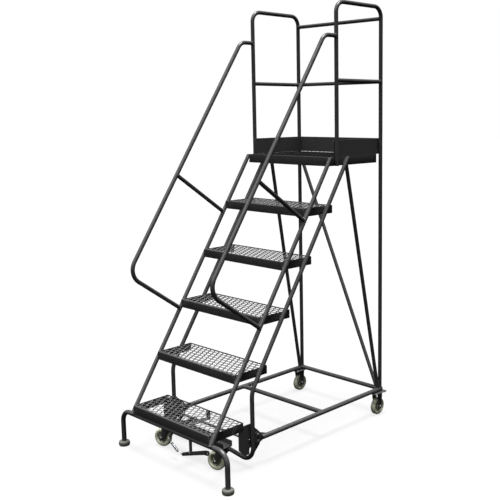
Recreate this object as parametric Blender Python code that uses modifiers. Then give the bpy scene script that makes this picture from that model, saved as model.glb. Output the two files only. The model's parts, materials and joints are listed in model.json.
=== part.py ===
"""Rolling library ladder: five expanded-metal treads and a guarded platform on a
round-tube frame, with rubber front feet, two fixed rear casters and a spring-loaded
carriage that holds two swivel casters under the first tread.

Metres, +Z up.  The climber faces +Y; the ladder's left is -X.  The origin is on the
floor, under the middle of the ladder's bounding box.
"""
import math

import bmesh
import bpy
from mathutils import Matrix, Vector

# ------------------------------------------------------------------ driving sizes
RISE = 0.254                 # tread to tread
RUN = 0.1665                 # tread to tread, horizontally
TREADS = 5
TREAD_HALF_W = 0.3048
TREAD_DEPTH = 0.222
TREAD_LIP = 0.0425
SHEET = 0.003
NOSING = 0.014
REAR_BAR = 0.006
GAP = 0.0003

R_TUBE = 0.0111              # stringers, posts, rails
R_BASE = 0.0127              # floor frame and front legs
R_BRACE = 0.0105
X_SIDE = TREAD_HALF_W + GAP + R_TUBE

FOOT_R = 0.030
FOOT_H = 0.027
LEG_X = 0.4221
LEG_BEND = 0.062

DECK_Z = RISE * (TREADS + 1)
DECK_LIP = 0.0476
DECK_FRONT = 0.8546          # from the first tread's front edge
DECK_REAR = 1.2620
TOE_TOP = 1.6121

POST_FRONT = 0.9128
POST_REAR = 1.2830
LOOP_TOP = 2.3223
LOOP_BEND = 0.055
MID_RAIL_Z = 1.9222
TOP_RAIL_Z = 2.2617

BASE_Z = 0.1490
BASE_FRONT = 0.3345
MID_BAR = 0.7820

STRINGER_FRONT = 0.033       # stringer axis behind the nosing, at tread-top level
STRINGER_REAR = 0.174
REAR_VERTICAL = 0.2710
REAR_CROSS_Z = 0.0330
REAR_CROSS_MID = 0.0720
REAR_BEND = 0.070
REAR_BOW = 0.300

RAIL_SLOPE = 1.49
RAIL_TOP_Z = 2.1490
STRUT_SLOPE = -0.72

WHEEL_R = 0.0508
WHEEL_HALF = 0.0150
HUB_HALF = 0.0176
LEG_IN = 0.0183              # fork leg, inner face from the wheel's middle
LEG_T = 0.0030
AXLE_R = 0.0060
TRAIL = 0.037

REAR_WHEEL_Y = 1.2595
REAR_PLATE = (0.030, 1.2080, 1.3140)   # half width, front, rear
SWIVEL_X = 0.220
SWIVEL_Y = 0.158
SWIVEL_TURN = math.radians(197.6)

PIVOT_Y = 0.262
PIVOT_Z = 0.150
PIVOT_R = 0.0064

# the first tread's front edge sits at FRONT, so that the box is centred on Y = 0
FRONT = -((R_BASE - FOOT_R) + REAR_PLATE[2]) / 2.0

TUBE_RES = 4
PI = math.pi


def Y(v):
    return FRONT + v


# ------------------------------------------------------------------ scene set-up
for ob in list(bpy.data.objects):
    bpy.data.objects.remove(ob, do_unlink=True)

PARTS = bpy.data.collections.new("library_ladder")
CUTTERS = bpy.data.collections.new("cutters")
bpy.context.scene.collection.children.link(PARTS)
bpy.context.scene.collection.children.link(CUTTERS)


def material(name, color, rough, metal):
    m = bpy.data.materials.new(name)
    m.use_nodes = True
    b = m.node_tree.nodes["Principled BSDF"]
    b.inputs["Base Color"].default_value = (*color, 1.0)
    b.inputs["Roughness"].default_value = rough
    b.inputs["Metallic"].default_value = metal
    m.diffuse_color = (*color, 1.0)
    return m


PAINT = {"color": (0.020, 0.020, 0.021), "rough": 0.38, "metal": 0.0}
RUBBER = {"color": (0.16, 0.16, 0.14), "rough": 0.85, "metal": 0.0}
WHEEL = {"color": (0.47, 0.47, 0.36), "rough": 0.60, "metal": 0.0}
ZINC = {"color": (0.62, 0.63, 0.65), "rough": 0.30, "metal": 1.0}


def finish(ob, look, parent=None, cutter=False):
    """Put an object in its collection, give it its own material and its parent."""
    (CUTTERS if cutter else PARTS).objects.link(ob)
    if cutter:
        ob.hide_render = True
        ob.display_type = "WIRE"
    elif look:
        ob.data.materials.clear()
        ob.data.materials.append(
            material(ob.name + "_finish", look["color"], look["rough"], look["metal"]))
    if parent is not None:
        ob.parent = parent
    return ob


def empty(name, loc, rot=(0.0, 0.0, 0.0), parent=None):
    e = bpy.data.objects.new(name, None)
    e.empty_display_size = 0.05
    e.location = loc
    e.rotation_euler = rot
    PARTS.objects.link(e)
    if parent is not None:
        e.parent = parent
    return e


# ------------------------------------------------------------------ shape helpers
def box(name, lo, hi, look=None, origin=(0.0, 0.0, 0.0), parent=None, cutter=False):
    """A box between two corners given from the object's own origin."""
    lo, hi = Vector(lo), Vector(hi)
    bm = bmesh.new()
    bmesh.ops.create_cube(bm, size=1.0)
    bmesh.ops.scale(bm, vec=hi - lo, verts=bm.verts)
    bmesh.ops.translate(bm, vec=(hi + lo) / 2, verts=bm.verts)
    me = bpy.data.meshes.new(name)
    bm.to_mesh(me)
    bm.free()
    ob = bpy.data.objects.new(name, me)
    ob.location = origin
    return finish(ob, look, parent, cutter)


def rod(name, a, b, radius, sides=16, look=None, origin=(0.0, 0.0, 0.0), parent=None,
        cutter=False):
    """A round or many-sided bar from a to b, given from the object's own origin."""
    a, b = Vector(a), Vector(b)
    d = b - a
    bm = bmesh.new()
    bmesh.ops.create_cone(bm, cap_ends=True, segments=sides, radius1=radius,
                          radius2=radius, depth=d.length)
    turn = Vector((0, 0, 1)).rotation_difference(d.normalized()).to_matrix().to_4x4()
    bmesh.ops.transform(bm, matrix=Matrix.Translation((a + b) / 2) @ turn, verts=bm.verts)
    me = bpy.data.meshes.new(name)
    bm.to_mesh(me)
    bm.free()
    if sides > 6:
        me.shade_smooth()
        me.set_sharp_from_angle(angle=math.radians(35))
    ob = bpy.data.objects.new(name, me)
    ob.location = origin
    return finish(ob, look, parent, cutter)


def rounded(points, radii, steps=6):
    """A path through corner points, each corner turned on an arc of its own radius."""
    pts = [Vector(p) for p in points]
    out = [pts[0]]
    for i in range(1, len(pts) - 1):
        r = radii[i - 1]
        u = (pts[i - 1] - pts[i]).normalized()
        v = (pts[i + 1] - pts[i]).normalized()
        ang = u.angle(v)
        if r <= 0 or ang > math.radians(178):
            out.append(pts[i])
            continue
        cut = r / math.tan(ang / 2)
        mid = (u + v).normalized()
        centre = pts[i] + mid * (r / math.sin(ang / 2))
        start = pts[i] + u * cut - centre
        end = pts[i] + v * cut - centre
        sweep = start.angle(end)
        axis = start.cross(end).normalized()
        n = max(2, int(round(steps * sweep / (PI / 2))))
        for k in range(n + 1):
            out.append(centre + Matrix.Rotation(sweep * k / n, 3, axis) @ start)
    out.append(pts[-1])
    return out


def tube(name, points, radius, radii=(), look=PAINT, steps=6, resolution=TUBE_RES):
    """A bent or straight round tube along a path."""
    path = rounded(points, list(radii) + [0.0] * (len(points) - 2 - len(radii)), steps)
    cu = bpy.data.curves.new(name, "CURVE")
    cu.dimensions = "3D"
    cu.fill_mode = "FULL"
    cu.bevel_depth = radius
    cu.bevel_resolution = resolution
    cu.use_fill_caps = True
    cu.twist_mode = "MINIMUM"
    sp = cu.splines.new("POLY")
    sp.points.add(len(path) - 1)
    sp.use_smooth = True
    for p, q in zip(sp.points, path):
        p.co = (q.x, q.y, q.z, 1.0)
    ob = bpy.data.objects.new(name, cu)
    return finish(ob, look)


def as_mesh(ob):
    """Turn a curve object into a welded mesh object of the same name and place."""
    name, look = ob.name, ob.data.materials[0]
    bpy.context.view_layer.update()
    dg = bpy.context.evaluated_depsgraph_get()
    me = bpy.data.meshes.new_from_object(ob.evaluated_get(dg))
    bm = bmesh.new()
    bm.from_mesh(me)
    bmesh.ops.remove_doubles(bm, verts=bm.verts, dist=0.00001)
    bm.to_mesh(me)
    bm.free()
    place, parent = ob.matrix_world.copy(), ob.parent
    bpy.data.objects.remove(ob, do_unlink=True)
    new = bpy.data.objects.new(name, me)
    me.name = name
    PARTS.objects.link(new)
    new.matrix_world = place
    me.materials.clear()
    me.materials.append(look)
    return new


def plate(name, outline, thickness, look=None, origin=(0, 0, 0), plane="YZ", parent=None,
          cutter=False):
    """A flat plate: a closed outline in the given plane, centred on its thickness."""
    cu = bpy.data.curves.new(name, "CURVE")
    cu.dimensions = "2D"
    cu.fill_mode = "BOTH"
    cu.extrude = thickness / 2
    sp = cu.splines.new("POLY")
    sp.points.add(len(outline) - 1)
    for p, q in zip(sp.points, outline):
        p.co = (q[0], q[1], 0.0, 1.0)
    sp.use_cyclic_u = True
    tmp = bpy.data.objects.new(name, cu)
    bpy.context.scene.collection.objects.link(tmp)
    bpy.context.view_layer.update()
    dg = bpy.context.evaluated_depsgraph_get()
    me = bpy.data.meshes.new_from_object(tmp.evaluated_get(dg))
    bpy.data.objects.remove(tmp, do_unlink=True)
    bm = bmesh.new()
    bm.from_mesh(me)
    bmesh.ops.remove_doubles(bm, verts=bm.verts, dist=0.00001)
    if plane == "YZ":        # outline x -> Y, outline y -> Z
        turn = Matrix(((0, 0, 1, 0), (1, 0, 0, 0), (0, 1, 0, 0), (0, 0, 0, 1)))
    else:                    # "XZ": outline x -> X, outline y -> Z
        turn = Matrix(((1, 0, 0, 0), (0, 0, -1, 0), (0, 1, 0, 0), (0, 0, 0, 1)))
    bmesh.ops.transform(bm, matrix=turn, verts=bm.verts)
    bmesh.ops.recalc_face_normals(bm, faces=bm.faces)
    bm.to_mesh(me)
    bm.free()
    ob = bpy.data.objects.new(name, me)
    me.name = name
    ob.location = origin
    return finish(ob, look, parent, cutter)


def turned(name, profile, steps, look, origin, rot=(0.0, 0.0, 0.0), parent=None,
           closed=False):
    """A turned part: a profile of (radius, height) spun about the part's own Z."""
    bm = bmesh.new()
    vs = [bm.verts.new((r, 0.0, z)) for r, z in profile]
    for a, b in zip(vs, vs[1:]):
        bm.edges.new((a, b))
    if closed:
        bm.edges.new((vs[-1], vs[0]))
    me = bpy.data.meshes.new(name)
    bm.to_mesh(me)
    bm.free()
    ob = bpy.data.objects.new(name, me)
    ob.location = origin
    ob.rotation_euler = rot
    sc = ob.modifiers.new("Turn", "SCREW")
    sc.axis = "Z"
    sc.angle = 2 * PI
    sc.steps = steps
    sc.render_steps = steps
    sc.use_merge_vertices = True
    sc.merge_threshold = 0.00001
    sc.use_smooth_shade = True
    return finish(ob, look, parent)


def boolean(ob, other, how):
    m = ob.modifiers.new(how.title(), "BOOLEAN")
    m.operation = how
    m.object = other
    m.solver = "EXACT"
    return m


def cut(ob, other):
    return boolean(ob, other, "DIFFERENCE")


def join(ob, other):
    return boolean(ob, other, "UNION")


def both_sides():
    return (("left", -1.0), ("right", 1.0))


# ------------------------------------------------------------------ tube axes
def stringer_y(offset, z):
    """Distance behind the first nosing of a stringer axis at height z."""
    return offset + (z - RISE) * RUN / RISE


def handrail_z(y):
    return 1.573 + RAIL_SLOPE * (y - 0.435)


def meet_stringer(y0, z0):
    """Where a strut leaving (y0, z0) at STRUT_SLOPE meets the front stringer's axis."""
    k = RUN / RISE
    y = (STRINGER_FRONT + k * (z0 - STRUT_SLOPE * y0 - RISE)) / (1 - k * STRUT_SLOPE)
    return y, z0 + STRUT_SLOPE * (y - y0)


# ------------------------------------------------------------------ treads and deck
def framed_pan(name, front, rear, top, lip, half_w, panel_name, rear_bar=0.0):
    """A sheet-metal tread frame with a folded nosing, and the mesh panel inside it.
    With rear_bar the rear side has only a bar that high in place of a lip."""
    origin = (0.0, Y(front), top)
    depth = rear - front
    frame = box(name, (-half_w, 0.0, -lip), (half_w, depth, 0.0), PAINT, origin)
    lower = box(name + "_hollow", (-half_w + SHEET, SHEET, -lip - 0.01),
                (half_w - SHEET, depth - SHEET, -SHEET), None, origin, cutter=True)
    upper = box(name + "_mouth", (-half_w + SHEET, NOSING, -0.012),
                (half_w - SHEET, depth - SHEET, 0.01), None, origin, cutter=True)
    cut(frame, lower)
    cut(frame, upper)
    if rear_bar:
        cut(frame, box(name + "_open_rear", (-half_w + SHEET, depth - SHEET - 0.001, -lip - 0.01),
                       (half_w - SHEET, depth + 0.01, -rear_bar), None, origin, cutter=True))
    inset = SHEET + GAP
    box(panel_name, (-half_w + inset, NOSING + GAP, -0.0048),
        (half_w - inset, depth - inset, -0.0006), PAINT, origin)


for n in range(1, TREADS + 1):
    y0 = (n - 1) * RUN
    framed_pan("tread_%d_frame" % n, y0, y0 + TREAD_DEPTH, n * RISE, TREAD_LIP,
               TREAD_HALF_W, "tread_%d_grating" % n, REAR_BAR)

framed_pan("platform_frame", DECK_FRONT, DECK_REAR, DECK_Z, DECK_LIP, TREAD_HALF_W,
           "platform_grating")

# toe boards stand on the deck's edge, inside the posts
TOE_LO = DECK_Z + GAP
for side, s in both_sides():
    x0, x1 = sorted((s * (TREAD_HALF_W - SHEET), s * TREAD_HALF_W))
    box("toe_board_" + side, (x0, Y(POST_FRONT - R_TUBE), TOE_LO),
        (x1, Y(POST_REAR - 0.0043), TOE_TOP), PAINT)
box("toe_board_rear", (-TREAD_HALF_W, Y(POST_REAR - 0.0040), TOE_LO),
    (TREAD_HALF_W, Y(POST_REAR - 0.0010), TOE_TOP), PAINT)

# ------------------------------------------------------------------ stair frame
CROSS_Z = RISE - TREAD_LIP - GAP - R_BASE
tube("front_leg_tube",
     [(-LEG_X, Y(R_BASE), 0.0105), (-LEG_X, Y(R_BASE), CROSS_Z),
      (LEG_X, Y(R_BASE), CROSS_Z), (LEG_X, Y(R_BASE), 0.0105)],
     R_BASE, (LEG_BEND, LEG_BEND), steps=8)

foot_profile = [(0.0, 0.0100), (R_BASE + GAP, 0.0100), (R_BASE + GAP, FOOT_H),
                (FOOT_R - 0.006, FOOT_H), (FOOT_R - 0.0015, FOOT_H - 0.0025),
                (FOOT_R, FOOT_H - 0.007), (FOOT_R, 0.0055), (FOOT_R - 0.003, 0.0010),
                (FOOT_R - 0.0055, 0.0), (0.0, 0.0)]
for side, s in both_sides():
    turned("front_foot_" + side, foot_profile, 24, RUBBER, (s * LEG_X, Y(R_BASE), 0.0))

k = RUN / RISE
STRINGER_LO = CROSS_Z + R_BASE + GAP + R_TUBE * math.cos(math.atan2(RISE, RUN)) + 0.0003
STRINGER_HI = DECK_Z - 0.012
for side, s in both_sides():
    tube("front_stringer_" + side,
         [(s * X_SIDE, Y(stringer_y(STRINGER_FRONT, STRINGER_LO)), STRINGER_LO),
          (s * X_SIDE, Y(stringer_y(STRINGER_FRONT, STRINGER_HI)), STRINGER_HI)], R_TUBE)

bend_z = RISE + (REAR_VERTICAL - STRINGER_REAR) / k
tube("rear_stringer_tube",
     [(-X_SIDE, Y(stringer_y(STRINGER_REAR, STRINGER_HI)), STRINGER_HI),
      (-X_SIDE, Y(REAR_VERTICAL), bend_z),
      (-X_SIDE, Y(REAR_VERTICAL), REAR_CROSS_Z),
      (0.0, Y(REAR_VERTICAL), REAR_CROSS_MID),
      (X_SIDE, Y(REAR_VERTICAL), REAR_CROSS_Z),
      (X_SIDE, Y(REAR_VERTICAL), bend_z),
      (X_SIDE, Y(stringer_y(STRINGER_REAR, STRINGER_HI)), STRINGER_HI)],
     R_TUBE, (0.12, REAR_BEND, REAR_BOW, REAR_BEND, 0.12), steps=7)

# ------------------------------------------------------------------ guard rails
BASE_TOP = BASE_Z + R_BASE + GAP
for side, s in both_sides():
    tube("guardrail_" + side,
         [(s * X_SIDE, Y(POST_FRONT), DECK_Z - DECK_LIP), (s * X_SIDE, Y(POST_FRONT), LOOP_TOP),
          (s * X_SIDE, Y(POST_REAR), LOOP_TOP), (s * X_SIDE, Y(POST_REAR), BASE_TOP)],
         R_TUBE, (LOOP_BEND, LOOP_BEND), steps=8)
    tube("mid_rail_" + side,
         [(s * X_SIDE, Y(POST_FRONT + R_TUBE + GAP), MID_RAIL_Z),
          (s * X_SIDE, Y(POST_REAR - R_TUBE - GAP), MID_RAIL_Z)], R_TUBE - 0.0006)

SPAN = X_SIDE - R_TUBE - GAP
tube("mid_rail_rear", [(-SPAN, Y(POST_REAR), MID_RAIL_Z), (SPAN, Y(POST_REAR), MID_RAIL_Z)],
     R_TUBE - 0.0006)
tube("top_rail_rear", [(-SPAN, Y(POST_REAR), TOP_RAIL_Z), (SPAN, Y(POST_REAR), TOP_RAIL_Z)],
     R_TUBE - 0.0006)

# ------------------------------------------------------------------ handrails
# corner points of the bent tube, as (distance behind the first nosing, height)
top_corner = (0.435 + (RAIL_TOP_Z - 1.573) / RAIL_SLOPE, RAIL_TOP_Z)
STRUT_REF = (0.084, 0.892)
low_y = ((STRUT_REF[1] - STRUT_SLOPE * STRUT_REF[0]) - (1.573 - RAIL_SLOPE * 0.435)) \
    / (RAIL_SLOPE - STRUT_SLOPE)
low_corner = (low_y, handrail_z(low_y))
strut_len = math.hypot(1.0, STRUT_SLOPE)


def strut_end(y0, z0):
    y, z = meet_stringer(y0, z0)
    back = R_TUBE + GAP + 0.0006
    return y - back / strut_len, z - back * STRUT_SLOPE / strut_len


low_end = strut_end(*low_corner)
MID_STRUT_Y = 0.343
mid_end = strut_end(MID_STRUT_Y, handrail_z(MID_STRUT_Y))
rail_out = R_TUBE + GAP + 0.0004
mid_start = (MID_STRUT_Y + rail_out / strut_len,
             handrail_z(MID_STRUT_Y) + rail_out * STRUT_SLOPE / strut_len)
for side, s in both_sides():
    tube("handrail_" + side,
         [(s * X_SIDE, Y(POST_FRONT - R_TUBE - GAP), RAIL_TOP_Z),
          (s * X_SIDE, Y(top_corner[0]), top_corner[1]),
          (s * X_SIDE, Y(low_corner[0]), low_corner[1]),
          (s * X_SIDE, Y(low_end[0]), low_end[1])],
         R_TUBE, (0.060, 0.080), steps=8)
    tube("handrail_strut_" + side,
         [(s * X_SIDE, Y(mid_start[0]), mid_start[1]),
          (s * X_SIDE, Y(mid_end[0]), mid_end[1])], R_TUBE - 0.0004)

# ------------------------------------------------------------------ lock plates, floor frame
PLATE_T = 0.005
PLATE_MID = TREAD_HALF_W - GAP - PLATE_T / 2
lock_outline = [(0.190, 0.2108), (0.190, 0.118), (0.228, 0.080), (0.296, 0.080),
                (0.330, 0.114), (0.330, 0.176), (0.268, 0.236), (0.2228, 0.236),
                (0.2228, 0.2108)]
END_T = 0.004
end_outline = [(0.298, 0.1120), (0.372, 0.1400), (0.372, 0.1580), (0.298, 0.1860)]
for side, s in both_sides():
    guard = plate("lock_plate_" + side, [(Y(a), b) for a, b in lock_outline], PLATE_T, PAINT,
                  (s * PLATE_MID, 0.0, 0.0))
    cut(guard, box("lock_plate_notch_" + side,
                   (s * PLATE_MID - 0.006, Y(REAR_VERTICAL - 0.0135), 0.060),
                   (s * PLATE_MID + 0.006, Y(REAR_VERTICAL + 0.0135), 0.1130), None,
                   cutter=True))
    rail = as_mesh(tube("base_rail_" + side,
                        [(s * X_SIDE, Y(BASE_FRONT), BASE_Z),
                         (s * X_SIDE, Y(POST_REAR + R_BASE), BASE_Z)], R_BASE))
    tab = plate("base_rail_tab_" + side, [(Y(a), b) for a, b in end_outline], END_T, None,
                (s * (TREAD_HALF_W + END_T / 2 + 0.0002), 0.0, 0.0), cutter=True)
    join(rail, tab)

BASE_SPAN = X_SIDE - R_BASE - GAP
tube("rear_crossbar", [(-BASE_SPAN, Y(POST_REAR), BASE_Z), (BASE_SPAN, Y(POST_REAR), BASE_Z)],
     R_BASE - 0.0003)
tube("mid_crossbar", [(-BASE_SPAN, Y(MID_BAR), BASE_Z), (BASE_SPAN, Y(MID_BAR), BASE_Z)],
     R_BASE - 0.0003)

# ------------------------------------------------------------------ braces
for side, s in both_sides():
    tube("side_brace_" + side,
         [(s * 0.2900, Y(1.0200), DECK_Z - DECK_LIP - 0.0028),
          (s * X_SIDE, Y(1.2602), BASE_TOP + 0.0024)], R_BRACE)
tube("rear_brace",
     [(-0.2915, Y(POST_REAR), 1.4620), (0.2840, Y(POST_REAR), BASE_TOP + 0.0052)], R_BRACE)

# ------------------------------------------------------------------ carriage under tread 1
rod("pivot_rod", (-(PLATE_MID - PLATE_T / 2 - GAP), 0, 0),
    (PLATE_MID - PLATE_T / 2 - GAP, 0, 0), PIVOT_R, 12, ZINC, (0.0, Y(PIVOT_Y), PIVOT_Z))

CH_LO, CH_HI = 0.1312, 0.1600
CH_F, CH_R = 0.128, 0.188
CH_X = 0.255
PIV = (0.0, Y(PIVOT_Y), PIVOT_Z)


def from_pivot(x, y, z):
    return (x, y - PIVOT_Y, z - PIVOT_Z)


carriage = box("caster_carriage", from_pivot(-CH_X, CH_F, CH_LO), from_pivot(CH_X, CH_R, CH_HI),
               PAINT, PIV)
cut(carriage, box("carriage_channel", from_pivot(-CH_X - 0.01, CH_F + SHEET, CH_LO + SHEET),
                  from_pivot(CH_X + 0.01, CH_R - SHEET, CH_HI + 0.01), None, PIV, cutter=True))
for side, s in both_sides():
    arm = [(CH_R - 0.0015 - PIVOT_Y, -0.0130), (0.006, -0.0130), (0.0130, -0.006),
           (0.0130, 0.006), (0.006, 0.0130), (-0.020, 0.0130),
           (CH_R - 0.0015 - PIVOT_Y, 0.0095)]
    join(carriage, plate("carriage_arm_" + side, arm, 0.005, None,
                         (s * 0.130, Y(PIVOT_Y), PIVOT_Z), cutter=True))
join(carriage, plate("spring_tab", [(0.0870, 0.1080), (0.0950, 0.0980), (0.1040, 0.0980),
                                    (0.1295, 0.1320), (0.1295, 0.1500), (0.1270, 0.1500)],
                     0.004, None, (-0.1260, FRONT, 0.0), cutter=True))
cut(carriage, rod("carriage_bore", (-0.2, 0, 0), (0.2, 0, 0), PIVOT_R + 0.0004, 16, None, PIV,
                  cutter=True))

# hanger strap and post under the first tread, with the lever's pin
POST_X, POST_Y = 0.037, 0.100
LEVER_Z = 0.0596
LEVER_Y = 0.0915
post = box("lock_post", (POST_X - 0.006, Y(POST_Y - 0.006), 0.0480),
           (POST_X + 0.006, Y(POST_Y + 0.006), 0.2080), PAINT)
join(post, box("lock_strap", (POST_X - 0.016, Y(2 * R_BASE + GAP), 0.2072),
               (POST_X + 0.016, Y(TREAD_DEPTH), 0.2110), None, cutter=True))
join(post, box("lock_hanger", (POST_X - 0.016, Y(TREAD_DEPTH - 0.0034), 0.2090),
               (POST_X + 0.016, Y(TREAD_DEPTH), RISE - REAR_BAR - 0.0005), None, cutter=True))
join(post, rod("lever_pin", (POST_X, Y(POST_Y), LEVER_Z), (POST_X, Y(LEVER_Y - 0.0050), LEVER_Z),
               0.0040, 12, None, cutter=True))

# the lever, about its pin
lv = [(-0.0640, -0.0245), (-0.0550, -0.0290), (0.0, -0.0105), (0.1180, 0.0270),
      (0.1460, 0.0300), (0.1600, 0.0420), (0.1560, 0.0590), (0.1300, 0.0545),
      (0.0, 0.0105), (-0.0600, -0.0120), (-0.0650, -0.0160)]
lever = plate("lock_lever", lv, 0.004, PAINT, (POST_X, Y(LEVER_Y), LEVER_Z), plane="XZ")
cut(lever, rod("lever_hole", (0, -0.01, 0), (0, 0.01, 0), 0.0044, 12, None,
               (POST_X, Y(LEVER_Y), LEVER_Z), cutter=True))

rod("lock_spring", (-0.1120, Y(0.0795), 0.0960), (-0.0280, Y(0.0795), 0.0440), 0.0065, 10, ZINC)


# ------------------------------------------------------------------ casters
wheel_profile = [(0.0340, 0.0145), (0.0460, 0.0150), (0.0496, 0.0110), (WHEEL_R, 0.0040),
                 (WHEEL_R, -0.0040), (0.0496, -0.0110), (0.0460, -0.0150), (0.0340, -0.0145),
                 (0.0300, -0.0105), (0.0185, -0.0105), (0.0160, -HUB_HALF),
                 (AXLE_R + 0.0006, -HUB_HALF), (AXLE_R + 0.0006, HUB_HALF),
                 (0.0160, HUB_HALF), (0.0185, 0.0105), (0.0300, 0.0105)]


def axle_bolt(name, parent, offset, along):
    """An axle bolt: a shank with a hexagon head at one end and a nut at the other."""
    v = Vector(along)
    o = LEG_IN + LEG_T + GAP
    shank = rod(name, -v * (o + 0.007), v * (o + 0.007), AXLE_R, 12, ZINC, offset, parent)
    for tag, a, b in (("head", -o, -o - 0.0052), ("nut", o, o + 0.0052)):
        join(shank, rod(name + "_" + tag, v * a, v * b, 0.0096, 6, None, offset, parent,
                        cutter=True))
    return shank


def fork_holes(fork, name, parent, offset, along):
    v = Vector(along)
    cut(fork, rod(name + "_bore", -v * 0.03, v * 0.03, AXLE_R + 0.0004, 16, None, offset, parent,
                  cutter=True))


for side, s in both_sides():
    # rear: fixed casters, wheel axis along X
    axis = empty("rear_caster_%s_axis" % side, (s * X_SIDE, Y(REAR_WHEEL_Y), WHEEL_R))
    hw, pf, pr = REAR_PLATE
    top = BASE_Z - R_BASE - GAP - WHEEL_R
    fork = box("rear_fork_" + side, (-hw, pf - REAR_WHEEL_Y, top - 0.0033),
               (hw, pr - REAR_WHEEL_Y, top), PAINT, (0, 0, 0), axis)
    leg = [(-0.022, top - 0.001), (-0.021, 0.058), (-0.0110, -0.003), (-0.0065, -0.0105),
           (0.0065, -0.0105), (0.0110, -0.003), (0.019, 0.058), (0.020, top - 0.001)]
    for tag, t in (("in", -1.0), ("out", 1.0)):
        join(fork, plate("rear_fork_leg_%s_%s" % (side, tag), leg, LEG_T, None,
                         (t * (LEG_IN + LEG_T / 2), 0, 0), parent=axis, cutter=True))
    fork_holes(fork, "rear_fork_" + side, axis, (0, 0, 0), (1, 0, 0))
    axle_bolt("rear_axle_" + side, axis, (0, 0, 0), (1, 0, 0))
    turned("rear_wheel_" + side, wheel_profile, 24, WHEEL, (0, 0, 0), (0, PI / 2, 0), axis, True)

    # front: swivel casters on the carriage
    sx = s * SWIVEL_X
    sw = box("swivel_plate_" + side, (-0.031, -0.029, 0.1270), (0.031, 0.029, CH_LO - GAP),
             PAINT, (sx, Y(SWIVEL_Y), 0.0))
    join(sw, rod("raceway_" + side, (0, 0, 0.1150), (0, 0, 0.1285), 0.0260, 20, None,
                 (sx, Y(SWIVEL_Y), 0.0), cutter=True))
    cut(sw, rod("raceway_bore_" + side, (0, 0, 0.1100), (0, 0, 0.1240), 0.0061, 16, None,
                (sx, Y(SWIVEL_Y), 0.0), cutter=True))

    turn = empty("front_caster_%s_axis" % side, (sx, Y(SWIVEL_Y), WHEEL_R),
                 (0, 0, SWIVEL_TURN))
    crown = box("front_fork_" + side, (-0.022, -LEG_IN - LEG_T, 0.0577),
                (0.050, LEG_IN + LEG_T, 0.0607), PAINT, (0, 0, 0), turn)
    leg = [(-0.022, 0.0600), (-0.022, 0.0500), (-0.012, 0.0440), (0.0250, -0.0040),
           (0.0310, -0.0105), (0.0430, -0.0105), (0.0490, -0.0040), (0.0510, 0.0440),
           (0.0500, 0.0600)]
    for tag, t in (("in", -1.0), ("out", 1.0)):
        join(crown, plate("front_fork_leg_%s_%s" % (side, tag), leg, LEG_T, None,
                          (0, t * (LEG_IN + LEG_T / 2), 0), plane="XZ", parent=turn,
                          cutter=True))
    join(crown, rod("fork_boss_" + side, (0, 0, 0.0590), (0, 0, 0.0639), 0.0200, 20, None,
                    (0, 0, 0), turn, cutter=True))
    join(crown, rod("king_pin_" + side, (0, 0, 0.0600), (0, 0, 0.0722), 0.0056, 16, None,
                    (0, 0, 0), turn, cutter=True))
    fork_holes(crown, "front_fork_" + side, turn, (TRAIL, 0, 0), (0, 1, 0))
    axle_bolt("front_axle_" + side, turn, (TRAIL, 0, 0), (0, 1, 0))
    turned("front_wheel_" + side, wheel_profile, 24, WHEEL, (TRAIL, 0, 0), (PI / 2, 0, 0),
           turn, True)

bpy.context.view_layer.update()
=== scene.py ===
"""Looks of the rolling library ladder: powder-coated tube frame, expanded-metal treads,
rubber feet, hard-rubber casters and zinc hardware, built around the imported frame."""
import json
import math

import bmesh
import bpy
from mathutils import Matrix, Vector


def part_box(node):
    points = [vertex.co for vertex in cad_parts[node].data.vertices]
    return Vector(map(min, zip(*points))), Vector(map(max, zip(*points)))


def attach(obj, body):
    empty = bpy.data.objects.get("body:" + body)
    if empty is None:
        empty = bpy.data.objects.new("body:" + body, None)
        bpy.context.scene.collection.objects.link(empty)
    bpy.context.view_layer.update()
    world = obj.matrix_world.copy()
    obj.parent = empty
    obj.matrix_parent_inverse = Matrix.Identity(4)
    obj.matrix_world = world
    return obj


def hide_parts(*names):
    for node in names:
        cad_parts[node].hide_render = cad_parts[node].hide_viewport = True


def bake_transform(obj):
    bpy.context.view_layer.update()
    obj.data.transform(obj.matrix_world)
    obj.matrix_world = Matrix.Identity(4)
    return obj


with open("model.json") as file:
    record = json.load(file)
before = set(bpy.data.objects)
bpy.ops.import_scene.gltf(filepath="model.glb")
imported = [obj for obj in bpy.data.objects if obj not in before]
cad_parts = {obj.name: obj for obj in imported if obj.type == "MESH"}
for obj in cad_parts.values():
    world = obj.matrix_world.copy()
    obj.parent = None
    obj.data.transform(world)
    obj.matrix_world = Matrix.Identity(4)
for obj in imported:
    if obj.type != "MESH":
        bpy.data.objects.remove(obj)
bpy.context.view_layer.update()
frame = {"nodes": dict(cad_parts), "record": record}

PI = math.pi
TAU = 2.0 * math.pi
NODES = frame["nodes"]

# ------------------------------------------------------------------ sizes, from the frame
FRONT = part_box("tread_1_frame")[0].y
RISE, RUN, TREADS = 0.254, 0.1665, 5
HALF_W, DEPTH, LIP, SHEET, NOSING, REAR_BAR = 0.3048, 0.222, 0.0425, 0.003, 0.014, 0.006
DECK_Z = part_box("platform_frame")[1].z
DECK_LIP = 0.0476
R_TUBE, R_BASE, R_BRACE = 0.0111, 0.0127, 0.0105
X_SIDE = HALF_W + 0.0003 + R_TUBE
LEG_X = 0.4221
POST_FRONT, POST_REAR, LOOP_TOP = 0.9128, 1.2830, 2.3223
MID_RAIL_Z, TOP_RAIL_Z = 1.9222, 2.2617
BASE_Z = 0.1490
CROSS_Z = RISE - LIP - 0.0003 - R_BASE
K = RUN / RISE


def Y(v):
    return FRONT + v


def V(x, y, z):
    """A point given as (x, distance behind the first nosing, z)."""
    return Vector((x, FRONT + y, z))


def sides():
    return (("left", -1.0), ("right", 1.0))


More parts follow.
